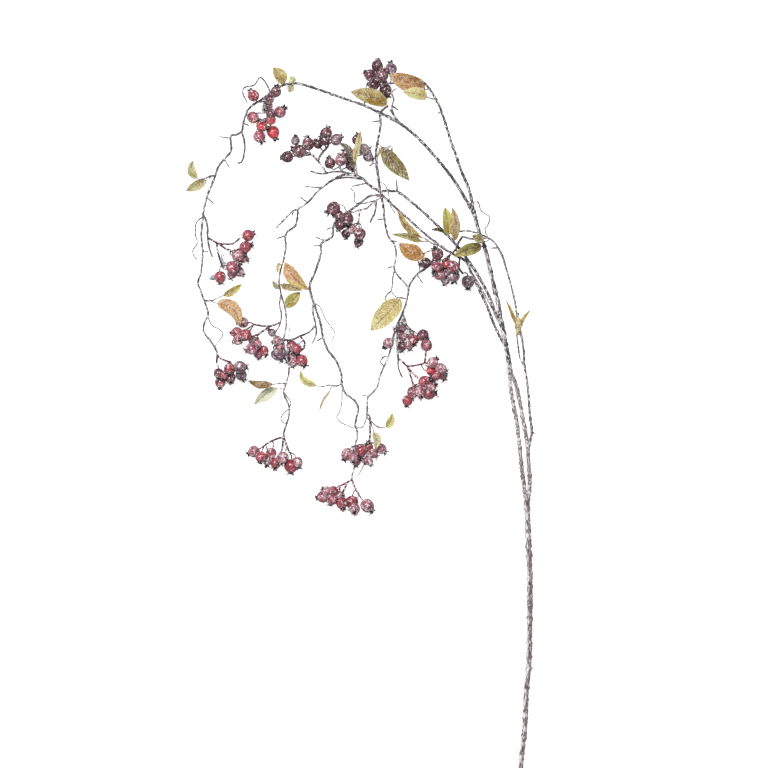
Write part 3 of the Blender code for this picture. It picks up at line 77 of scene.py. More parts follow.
# Strands of the stem: (name, parent, radius at the root, radius at the tip, route).
# A strand's first point is moved to its parent's axis.
STRANDS = [
    ("trunk", None, 2.6, 3.3, [(176, -400, 2.3), (178, -365, 2.8), (181.5, -335, 3.6),
        (183.5, -290, 5), (186, -262, 6), (187, -217, 7), (187, -163, 9), (185, -117, 11),
        (183.5, -78, 13)]),
    ("fork_left", "trunk", 2.3, 2.3, [(183.5, -88, 12.6), (181, -68, 13.5), (178, -44, 15),
        (175.5, -20, 17), (172.5, 5, 18), (169, 23, 19), (166, 41, 20), (164, 66, 21.5)]),
    ("fork_right", "trunk", 2.3, 2.0, [(184.5, -88, 12), (187, -61, 13), (186, -43, 14),
        (184.5, -22, 16), (182, -5, 18), (179, 10, 19), (176, 27, 20), (172, 45, 20.5),
        (167, 58, 21), (164, 72, 22)]),
    ("main", "fork_left", 2.9, 2.1, [(164.5, 58, 21.3), (163, 75, 22.5), (160, 91, 24),
        (157, 107, 26.5), (154, 121, 29), (152, 135, 31), (148, 150, 33), (144, 168, 36),
        (140, 185, 38), (136, 200, 40), (131, 213, 42), (127, 228, 44), (125, 238, 45)]),
    ("arch_left", "main", 1.9, 1.3, [(126, 231, 44), (117, 248, 47), (104, 269, 50), (92, 285, 52),
        (80, 299, 54), (65, 315, 56), (50, 328, 57), (36, 337, 57), (22, 344, 56), (5, 352, 54),
        (-20, 361, 50), (-45, 370, 45), (-68, 377, 40), (-82, 376, 37), (-97, 368, 33),
        (-108, 360, 30), (-118, 354, 27), (-125, 347, 25)]),
    ("arch_right", "main", 1.8, 1.1, [(125, 235, 45), (120, 259, 48), (111, 281, 50),
        (104, 301, 51), (98, 318, 52), (92, 338, 52), (87, 352, 50), (80, 365, 48), (73, 375, 46),
        (66, 381, 44), (57, 384, 42), (48, 382, 40), (38, 378, 38)]),
    ("outer", "fork_right", 1.5, 1.0, [(185, -26, 16), (189, -6, 17), (187, 14, 19),
        (185.5, 34, 21), (183.5, 52, 23), (181, 67, 25), (180, 84, 27), (177.5, 100, 29),
        (174, 112, 31), (172.5, 124, 33), (170, 138, 36), (166, 155, 39), (160, 175, 43),
        (156, 188, 46), (149, 200, 50), (140, 207.5, 52), (132, 205.5, 52), (124, 206, 51),
        (113, 208.5, 50)]),
    ("outer_twin", "outer", 1.0, 1.0, [(181, 66, 25), (176, 76, 26.5), (174, 88, 28),
        (172.5, 100, 29.5), (173.5, 112, 31)]),
    ("inner", "main", 1.7, 1.5, [(155, 112, 28), (149, 124, 31), (144, 139, 35), (136, 155, 38),
        (128, 169, 40), (120, 181, 43), (108, 197, 45), (98, 208, 46), (86, 220, 47),
        (70, 235, 47), (55, 248, 46), (41, 258, 45), (31, 259, 44), (24, 259, 44)]),
    ("lower", "main", 1.6, 1.3, [(160, 88, 23.6), (153, 101, 25), (146, 116, 27), (140, 132, 30),
        (131, 151, 32), (123, 168, 34), (116, 182, 35), (104, 189, 36), (88, 199, 37),
        (74, 210, 38), (58, 224, 40), (40, 240, 42), (27, 252, 43.5), (22, 257, 44)]),
    ("between", "inner", 1.1, 0.9, [(149, 124, 31), (142, 136, 32.5), (134, 151, 34),
        (127, 163, 35), (121, 172, 34.5)]),
    ("descent", "arch_left", 1.3, 1.5, [(22, 344, 56), (22.5, 330, 54), (18, 305, 50),
        (18, 292, 48), (20, 275, 46), (22, 260, 44)]),
    ("below_hub", "descent", 1.3, 1.0, [(22, 261, 44), (26, 240, 42), (27, 228, 41), (31, 210, 39),
        (38, 200, 37), (39.5, 188, 36), (38, 173, 35), (42, 166, 33), (51, 156, 29),
        (54, 149, 27)]),
    ("limb_left", "below_hub", 1.6, 1.0, [(23, 258, 44), (12, 264, 43), (2, 273, 42),
        (-10, 277, 41), (-20, 276, 40), (-35, 268, 39), (-47, 258, 38), (-57, 247, 37),
        (-68, 240, 36), (-75, 236, 35), (-86, 225, 34), (-92, 218.5, 34)]),
    ("limb_left_twin", "limb_left", 0.8, 0.7, [(4, 271, 42), (-5, 273, 40), (-15, 274, 38.5),
        (-27, 272, 39)]),
    ("blunt_left", "limb_left", 1.1, 0.9, [(-6, 276, 41.5), (-18, 280, 40.5), (-30, 280, 39.5),
        (-42, 278, 38.5), (-55, 281, 37.5)]),
    ("drop_left", "limb_left", 1.2, 0.9, [(-68, 240, 36), (-69, 228, 35), (-71, 221, 34.5),
        (-80, 214, 34), (-82, 206, 33.5), (-81.5, 198, 33), (-83.5, 186, 32), (-87, 173, 32),
        (-89, 160, 31), (-87, 146, 30), (-88.5, 135, 29), (-86.5, 124, 28.5), (-88, 113, 28),
        (-93, 104, 27)]),
    ("drop_right", "drop_left", 0.9, 1.1, [(-87, 147, 30), (-83, 133, 30.5), (-81, 120, 31),
        (-82, 105, 31), (-84, 96, 31), (-82, 80, 30.5), (-78, 66, 29), (-80, 52, 27),
        (-84, 39, 25), (-82, 32, 24), (-78, 22, 23), (-78.5, 11, 22), (-82, 0, 20.5),
        (-84, -7, 19)]),
    ("drop_loop", "drop_right", 0.6, 0.6, [(-84, 39, 25), (-80, 33, 26), (-76, 27, 25),
        (-78, 21, 23)]),
    ("drop_curl", "drop_right", 0.55, 0.5, [(-78.5, 20, 23), (-84, 15, 24), (-87, 9, 24),
        (-85, 5, 23), (-81, 4, 21.5)]),
    ("limb_low", "below_hub", 1.5, 1.2, [(24, 254, 43.5), (12, 254, 42), (5, 250, 41),
        (-5, 242, 38), (-14, 236, 33), (-24, 230, 30), (-29, 221, 30), (-31, 209, 30),
        (-42, 202, 30), (-43, 190, 30), (-49, 171, 30), (-55, 156, 29), (-53, 143, 28),
        (-50, 134, 28), (-46, 122, 27), (-43, 112, 27), (-40.5, 98, 26), (-35, 84, 25),
        (-27, 74, 24), (-21, 60, 23), (-20, 47, 22), (-16, 37, 21), (-6, 29, 20), (-2, 20, 19),
        (-4.5, 8, 18.5), (-5.5, -1, 18)]),
    ("low_back", "limb_low", 1.2, 1.1, [(-5, 2, 18), (-3, -9, 12), (-5, -19, 8), (-6, -30, 6.5),
        (-6, -43, 7.5), (-9, -54, 9)]),
    ("low_side", "limb_low", 1.0, 0.8, [(-51, 137, 28), (-52, 128, 27.5), (-49, 114, 27),
        (-48, 104, 27), (-50, 97, 26.5), (-53, 91, 26)]),
    ("low_branch", "low_side", 0.9, 0.9, [(-49, 112, 27), (-54, 106, 26), (-60, 102, 25)]),
    ("low_curl", "limb_low", 0.65, 0.5, [(-51, 137, 28), (-44, 132, 29), (-38, 119, 30),
        (-31, 109, 31), (-28, 105, 31), (-31, 92, 30)]),
    ("low_tendril", "limb_low", 0.65, 0.55, [(-20, 45, 22), (-20, 28, 23), (-22, 18, 23),
        (-25.5, 11, 22), (-21, 5, 21), (-12, 1, 19.5), (-6, -2, 18)]),
    ("low_leaf_twig", "limb_low", 0.9, 0.8, [(-20, 47, 22), (-27, 45, 24), (-34, 46, 25),
        (-43, 44, 26)]),
    ("hub_twig", "below_hub", 1.0, 0.9, [(24, 252, 43.5), (17, 248, 44), (10, 242, 45),
        (7, 239, 45)]),
    ("hub_curl", "descent", 0.65, 0.5, [(20, 269, 45), (27, 266, 48), (31, 257, 49), (34, 242, 48),
        (39, 234, 47)]),
    ("hub_tendril", "hub_twig", 0.65, 0.5, [(17, 249, 44), (8, 246, 46), (0, 245, 47),
        (-6, 247, 47), (-6, 256, 46), (-10, 262, 45)]),
    ("hub_spur", "hub_twig", 0.8, 0.7, [(17, 249, 44), (17, 238, 42), (11, 224, 40)]),
    ("limb_right", "lower", 1.4, 1.1, [(85, 201, 37), (82, 191, 34), (79, 181, 31), (70, 173, 28),
        (62, 167, 27), (55, 157, 27), (53, 147, 27), (50, 134, 27), (46, 123, 27),
        (41.5, 112, 27.5), (41, 100, 28), (41, 88, 27), (42, 76, 25)]),
    ("right_back", "limb_right", 1.0, 1.1, [(42, 115, 27), (38, 103, 21), (34.5, 89, 19),
        (31, 77, 20), (27, 68, 21), (22, 56, 22), (19, 44, 22), (13, 37, 22), (8.5, 32, 22),
        (8, 20, 21), (7, 9, 20)]),
    ("right_join", "right_back", 0.9, 0.9, [(7, 10, 20), (3, 0, 19), (-4, -1, 18)]),
    ("right_loop", "right_back", 0.6, 0.55, [(31, 78, 20), (26, 77, 22), (22.5, 72, 23),
        (26, 67, 21)]),
    ("right_spur", "limb_right", 1.0, 0.9, [(42, 77, 25), (42, 66, 23), (44, 60, 22),
        (47, 54, 22)]),
    ("right_strand", "below_hub", 0.7, 0.65, [(38, 173, 35), (36, 164, 33), (34.5, 150, 31),
        (30, 146, 31), (27.5, 140, 31), (29, 136, 31)]),
    ("right_bridge", "limb_right", 0.8, 0.6, [(51.5, 141, 27), (46, 142, 29), (40, 142.5, 30),
        (34.5, 149, 31)]),
    ("right_leaf_twig", "right_back", 0.9, 0.9, [(7, 11, 20), (15, 3.5, 20.5), (20, 0, 21),
        (26, -0.5, 22)]),
    ("right_drop", "right_leaf_twig", 0.8, 0.75, [(11, 7, 20.2), (13, 1, 22.5), (15, -5, 24.5)]),
    ("right_curl", "limb_right", 0.6, 0.5, [(65, 169, 27), (66, 177, 29), (64, 183, 30)]),
    ("curtain", "arch_left", 1.3, 1.1, [(-124, 348, 25), (-128, 336, 24), (-130, 326, 24),
        (-135, 322, 23.5), (-142, 320, 23), (-142, 304, 22), (-150, 294, 22), (-156, 286, 23),
        (-160, 274, 24), (-164, 264, 25), (-168, 254, 26), (-171, 242, 26), (-173, 228, 26),
        (-174.5, 210, 26), (-173, 190, 26), (-175, 170, 25.5), (-178, 159, 25), (-175, 149, 25),
        (-171, 138, 25), (-167, 124, 25), (-171, 115, 24), (-172, 105, 24), (-164, 94, 23),
        (-157, 82, 22)]),
    ("curtain_side", "curtain", 1.0, 0.8, [(-172, 234, 26), (-168, 222, 27), (-167.5, 208, 27),
        (-165, 194, 26), (-162, 187, 26)]),
    ("curtain_tendril", "curtain", 0.65, 0.55, [(-167, 121, 25), (-163, 112, 26), (-154, 107, 27),
        (-151, 101, 26), (-158, 91, 24), (-160, 87, 22.5)]),
    ("curtain_curl", "curtain", 0.65, 0.5, [(-173, 232, 26), (-180, 224, 28), (-181, 212, 29),
        (-179, 202, 29), (-184, 193, 29), (-179, 183, 28)]),
    ("top_curl", "arch_left", 0.7, 0.55, [(-98, 367, 33), (-104, 379, 34), (-110, 384, 34),
        (-116, 376, 33), (-127, 373, 31), (-129, 368, 30), (-124, 356, 27)]),
    ("curtain_loop", "curtain", 0.7, 0.6, [(-130, 325, 24), (-127, 313, 25), (-127, 304, 25),
        (-130, 292, 24), (-135, 290, 24)]),
    ("curtain_leaf_twig", "curtain", 0.9, 0.8, [(-159, 276, 24), (-165, 276, 25),
        (-171, 273, 26)]),
    ("curtain_low_twig", "curtain", 0.9, 0.8, [(-171, 139, 25), (-166, 139, 25),
        (-161.5, 139, 25)]),
    ("main_curl", "arch_left", 0.8, 0.55, [(120, 245, 46), (129, 247, 47), (133, 237, 48),
        (142, 230, 48), (140, 221, 47), (137, 217, 46), (140, 208, 51)]),
    ("arch_twig", "arch_left", 0.9, 0.8, [(46, 331, 57), (37, 341, 59), (33, 348, 60)]),
    ("arch_curl", "arch_left", 0.65, 0.5, [(40, 335, 57), (35, 350, 59), (37, 358, 60),
        (35, 366, 59), (40, 371, 57)]),
    ("arch_leaf_twig", "arch_left", 0.9, 0.8, [(22, 344, 56), (26, 348, 60), (31, 351, 63)]),
    ("leaf_twig_high", "lower", 0.9, 0.8, [(86, 200, 37), (80, 201, 41), (73, 206, 43)]),
    ("side_leaf_twig", "outer", 0.8, 0.7, [(140, 207.5, 52), (130, 212, 54), (118, 215, 54),
        (107, 214, 53)]),
    ("left_leaf_twig", "drop_right", 0.8, 0.8, [(-81, 48, 27), (-88, 48, 27)]),
]

MAIN_STRANDS = 12             # trunk and arches: these are the piece bark_main

# Short spurs and old leaf scars: (parent, root, tip).
SPURS = [
    ("trunk", (185.5, -263, 6), (191, -267, 8)), ("outer", (189, -5, 17), (192.5, -7.5, 18)),
    ("outer", (172.5, 121, 33), (175, 126, 34)), ("outer", (151, 196, 49), (142, 196, 50)),
    ("arch_left", (3, 352, 54), (7, 358, 56)), ("arch_right", (90, 345, 51), (86, 344, 53)),
    ("arch_curl", (35, 352, 59), (42, 347, 59)), ("descent", (22, 335, 55), (11, 334, 55)),
    ("descent", (18, 291, 48), (10, 286, 49)), ("inner", (41, 258, 45), (40, 271, 46)),
    ("below_hub", (27, 229, 41), (18, 227, 42)), ("below_hub", (34, 205, 38), (41, 203, 39)),
    ("below_hub", (38, 177, 35), (29, 174, 36)), ("limb_left", (8, 267, 42.5), (-9, 264, 44)),
    ("limb_left", (-42, 263, 38.5), (-61, 264, 39)),
    ("limb_left", (-58, 246.5, 37), (-66, 253, 38)), ("limb_left", (-73, 237, 35), (-75, 231, 34)),
    ("drop_left", (-84, 211, 34), (-92, 207, 34)), ("limb_low", (-30, 220, 30), (-37, 217, 30)),
    ("limb_low", (-39, 205, 30), (-49, 209, 31)), ("limb_low", (-43, 199, 30), (-52, 200, 30)),
    ("limb_low", (-41, 99, 26), (-48, 94, 26)), ("right_back", (9, 35, 22), (2, 35, 22)),
    ("limb_right", (63, 167, 27), (69, 158, 26)), ("curtain", (-128, 334, 24), (-122, 331.5, 27)),
    ("curtain", (-143, 318, 23), (-155, 319.5, 23)), ("curtain", (-149, 294, 22), (-144, 286, 22)),
    ("curtain", (-167, 252, 26), (-160, 245, 27)), ("curtain", (-174, 192.5, 26), (-167, 193, 26)),
]

# Bunches: (name, colour, carrying strand, peduncles, hips). A peduncle is a route; the first
# one starts on the carrying strand. A hip is (x, y, z, radius, heading, rise): the heading
# and rise of its crown are in degrees. Its stalk leaves the nearest peduncle point.
BUNCHES = [
    ("hips_01", "red", "arch_left", [[(-106, 361, 30), (-105, 355, 26), (-103, 348, 20),
        (-102, 341, 16)]], [(-117, 364, 38, 6.5, 120, 10), (-92, 368, 45, 6.0, 85, 30),
        (-100, 361, 20, 5.5, 60, 20), (-118, 341, 15, 6.5, 330, 20), (-88, 347, 19, 6.5, 40, 20),
        (-98, 345, 27, 5.5, 145, 20), (-108, 331, 18, 6.0, 340, 20), (-111, 320, 12, 6.5, 300, 10),
        (-96, 325, 5.8, 6.8, 290, 5), (-102, 354, 12.5, 5.5, 230, 10),
        (-98.5, 338, 23, 5.5, 190, 20)]),
    ("hips_02", "plum", "arch_right", [[(39, 378, 38), (31, 377, 36), (24, 377, 33),
        (21, 383, 30)]], [(19, 397, 30, 6.5, 80, 40), (34, 394, 27, 6.5, 95, 10),
        (11, 387, 25, 6.5, 150, 10), (24, 386, 38, 7.0, 70, 40), (15, 376, 34, 6.0, 175, 10),
        (28, 370, 28, 7.0, 290, 0), (18, 365, 27, 5.5, 280, 40), (25, 378, 28, 5.5, 315, 0)]),
    ("hips_03", "plum", "blunt_left", [[(-37, 279, 39), (-42, 287, 38), (-46, 292, 37),
        (-52, 299, 35)], [(-46, 292, 37), (-43, 299, 37), (-37, 306, 36)]],
        [(-80, 297, 29, 6.5, 185, 0), (-67, 303, 33, 7.5, 160, 10), (-71, 315, 29, 5.0, 85, 30),
        (-57, 311, 37, 7.0, 100, 10), (-46, 311, 30, 5.0, 120, 30), (-37, 323, 31, 6.5, 70, 0),
        (-39, 315, 42, 6.0, 130, 20), (-26, 316, 33, 6.5, 30, 0)]),
    ("hips_04", "plum", "blunt_left", [[(-19, 280, 40.5), (-21, 283, 40), (-23, 286, 38)]],
        [(-33, 290, 35, 6.0, 105, 10), (-21, 293, 43, 6.5, 95, 50), (-13, 298, 33, 7.0, 120, 10),
        (4, 305, 35, 6.5, 0, 0), (9, 297, 30, 5.5, 330, 0), (-3, 316, 30, 6.0, 80, 0),
        (-10.5, 287.5, 27, 5.5, 300, 0)]),
    ("hips_05", "plum", "hub_twig", [[(8, 240, 45), (0, 238, 46), (-7, 236, 46), (-14, 235, 46)],
        [(0, 238, 46), (-1, 230, 46), (-2, 224, 45)]], [(-29, 240, 41, 7.5, 215, 10),
        (-14, 228, 44, 7.5, 280, 30), (-22, 222, 41, 6.0, 255, 10), (-9, 217, 40, 5.5, 220, 20),
        (0, 212, 42, 6.5, 258, 0), (-23.5, 232.5, 38.5, 5.5, 185, 0),
        (-15.5, 212, 37, 5.0, 270, 0), (-1.5, 203.5, 34, 5.5, 250, 0)]),
    ("hips_06", "red", "curtain_side", [[(-167, 208, 27), (-162, 205, 26), (-155, 202, 25),
        (-141, 201.5, 23), (-133, 207, 22)], [(-156.5, 202.5, 25.2), (-149, 197, 23),
        (-142, 194, 21)], [(-158, 203.2, 25.4), (-156, 191, 24), (-152, 178, 22)]],
        [(-123, 211, 21, 6.5, 20, 0), (-126, 198, 26, 6.5, 15, 10), (-134, 189, 19, 7.0, 0, 20),
        (-140, 176, 25, 7.0, 20, 10), (-133, 171, 14, 5.5, 320, 0), (-154, 165, 19, 6.5, 275, 0),
        (-129, 186, 14, 5.5, 340, 0), (-141, 169, 12, 5.5, 250, 0)]),
    ("hips_07", "plum", "outer", [[(112, 208.5, 50), (108, 202, 51), (105, 195, 50), (98, 188, 47),
        (91, 183, 45)], [(105, 195, 50), (109, 186, 46), (109, 175, 30), (113, 169, 18)]],
        [(72, 180, 41, 6.0, 200, 10), (85, 190, 46, 6.5, 120, 30), (84, 176, 45, 6.0, 240, 30),
        (95, 180, 37, 5.5, 240, 0), (102, 176, 46, 6.5, 300, 20), (87, 167, 38, 6.0, 175, 0),
        (103, 166, 36, 6.5, 270, 20), (94, 162, 27, 5.5, 260, 0), (119, 160, 6.0, 7.0, 270, 5),
        (93, 171, 30, 5.5, 250, 20)]),
    ("hips_08", "rose", "drop_left", [[(-88, 115, 28), (-92, 113, 27), (-98, 111, 26),
        (-106, 106, 25), (-113, 101, 24)], [(-98, 111, 26), (-106, 111, 25), (-117, 113, 23)]],
        [(-129, 115, 20, 6.0, 180, 0), (-136, 104, 17, 6.0, 190, 0), (-126, 101, 27, 6.5, 225, 20),
        (-118, 95, 15, 5.0, 250, 0), (-119, 86, 23, 6.5, 200, 10), (-106, 84, 20, 5.5, 300, 0),
        (-112, 92, 30, 4.0, 270, 30), (-134.5, 95.5, 21.5, 5.5, 200, 0),
        (-112, 81, 12.5, 5.5, 280, 0)]),
    ("hips_09", "rose", "low_branch", [[(-60.5, 102, 25), (-66, 100, 23), (-75, 96, 21),
        (-86, 96, 18)], [(-66, 100, 23), (-61, 93, 22), (-62, 86, 19)]],
        [(-97, 104, 16, 4.5, 140, 0), (-91, 95, 18, 5.5, 200, 0), (-91, 80, 17, 7.0, 310, 10),
        (-75, 89, 15, 6.0, 270, 0), (-70, 86, 26, 6.0, 240, 30), (-71, 77, 15, 6.0, 262, 20),
        (-64, 73, 20, 6.5, 300, 10), (-79, 78, 10, 6.0, 265, 0), (-88.5, 88, 12, 5.5, 225, 20),
        (-73, 71, 20, 5.0, 255, 0)]),
    ("hips_10", "rose", "limb_right", [[(47, 124, 27), (49, 119, 27), (51, 112, 26), (56, 107, 25),
        (62, 103, 24)], [(49, 119, 27), (46, 114, 19), (45, 108, 14)], [(49, 120, 27),
        (45, 114, 33), (38, 105, 35)]], [(45, 109, 13, 6.0, 200, 0), (31, 92, 30, 6.0, 230, 30),
        (47, 99, 17, 5.0, 260, 0), (46, 89, 14, 5.5, 265, 0), (54, 90, 21, 5.0, 280, 0),
        (59, 96, 25, 5.5, 275, 20), (69, 101, 22, 6.5, 215, 10), (55, 102, 13, 5.0, 290, 0)]),
    ("hips_11", "red", "right_spur", [[(42, 75, 24.7), (47, 71.5, 26), (52, 67, 25), (62, 68, 25),
        (71, 70, 25), (76, 70, 25)], [(71, 70, 25), (72, 77, 27), (72.5, 83, 28)], [(52, 67, 25),
        (58, 59, 24), (64, 54, 23)], [(52, 67, 25), (56, 55, 23), (59, 45, 21)]],
        [(73, 90, 29, 6.5, 85, 10), (80, 71, 28, 6.0, 40, 10), (79, 62, 18, 6.0, 0, 0),
        (89, 64, 24, 6.5, 335, 0), (91, 58, 12, 6.0, 290, 0), (71, 50, 24, 6.5, 20, 20),
        (77, 50, 13, 6.0, 30, 0), (66, 38, 24, 6.0, 285, 40), (58, 38, 14, 6.5, 260, 0),
        (52, 29, 20, 6.0, 262, 10), (76, 37, 17, 7.0, 0, 0), (79, 44, 27, 5.0, 30, 30),
        (84, 57, 26, 5.5, 200, 20)]),
    ("hips_12", "rose", "curtain", [[(-157, 82, 22), (-157, 79, 21), (-153, 75, 20),
        (-145, 72, 19)], [(-157, 79, 21), (-158, 71, 19)]], [(-156, 59, 20, 5.5, 270, 0),
        (-144, 64, 25, 6.0, 250, 20), (-154, 49, 14, 6.0, 265, 0), (-143, 54, 18, 6.0, 280, 40),
        (-132, 66, 21, 7.0, 0, 0), (-131, 57, 12, 6.0, 300, 0), (-143, 62, 10, 5.0, 260, 0),
        (-149, 57, 22, 5.0, 250, 20)]),
    ("hips_13", "rose", "right_back", [[(8, 16, 20.5), (11, 9, 24), (11, 0, 26), (11, -10, 26),
        (8, -18, 25), (-1, -20, 24), (-9, -22, 23)]], [(-14, -30, 21, 7.0, 240, 0),
        (-7, -34, 29, 5.5, 270, 40), (1, -26, 27, 6.0, 250, 20), (6, -33, 19, 7.0, 275, 0),
        (10, -38, 27, 4.5, 300, 10), (14, -29, 19, 5.5, 320, 0), (23, -24, 17, 6.0, 320, 0),
        (9, -22, 18, 5.5, 90, 10), (-4, -38, 19, 5.0, 265, 0)]),
    ("hips_14", "rose", "low_back", [[(-9, -54, 9), (-9.5, -57, 10), (-14, -61, 11),
        (-20, -64, 12), (-25, -66, 13)], [(-9.5, -57, 10), (-6, -66, 11), (-1, -75, 11)],
        [(-14, -61, 11), (-17, -68, 12), (-19, -72, 12)]], [(-36, -71, 18, 6.0, 150, 10),
        (-41, -77, 9, 6.5, 190, 0), (-31, -80, 18, 6.0, 250, 0), (-23, -77, 9, 6.5, 265, 0),
        (-20, -84, 17, 6.5, 285, 40), (-9, -83, 10, 7.0, 265, 0), (-6, -90, 18, 6.0, 275, 50),
        (8, -87, 6.5, 7.5, 310, 5), (-30, -71, 12, 6.0, 200, 0)]),
    ("hips_15", "rose", "drop_right", [[(-84, -7, 19), (-84, -11, 18.5), (-85, -18, 18),
        (-86, -26, 18)], [(-84, -11, 18.5), (-94, -14, 18), (-104, -19, 18)], [(-84, -11, 18.5),
        (-81, -20, 18), (-78, -28, 17)]], [(-117, -27, 16, 6.5, 205, 0),
        (-109, -33, 24, 6.0, 260, 20), (-98, -29, 17, 6.0, 250, 0), (-93, -40, 15, 6.0, 260, 40),
        (-85, -34, 22, 6.5, 250, 10), (-76, -43, 15, 7.5, 265, 0), (-102, -37, 15, 5.5, 265, 10),
        (-69, -39, 18, 6.0, 285, 0)]),
]

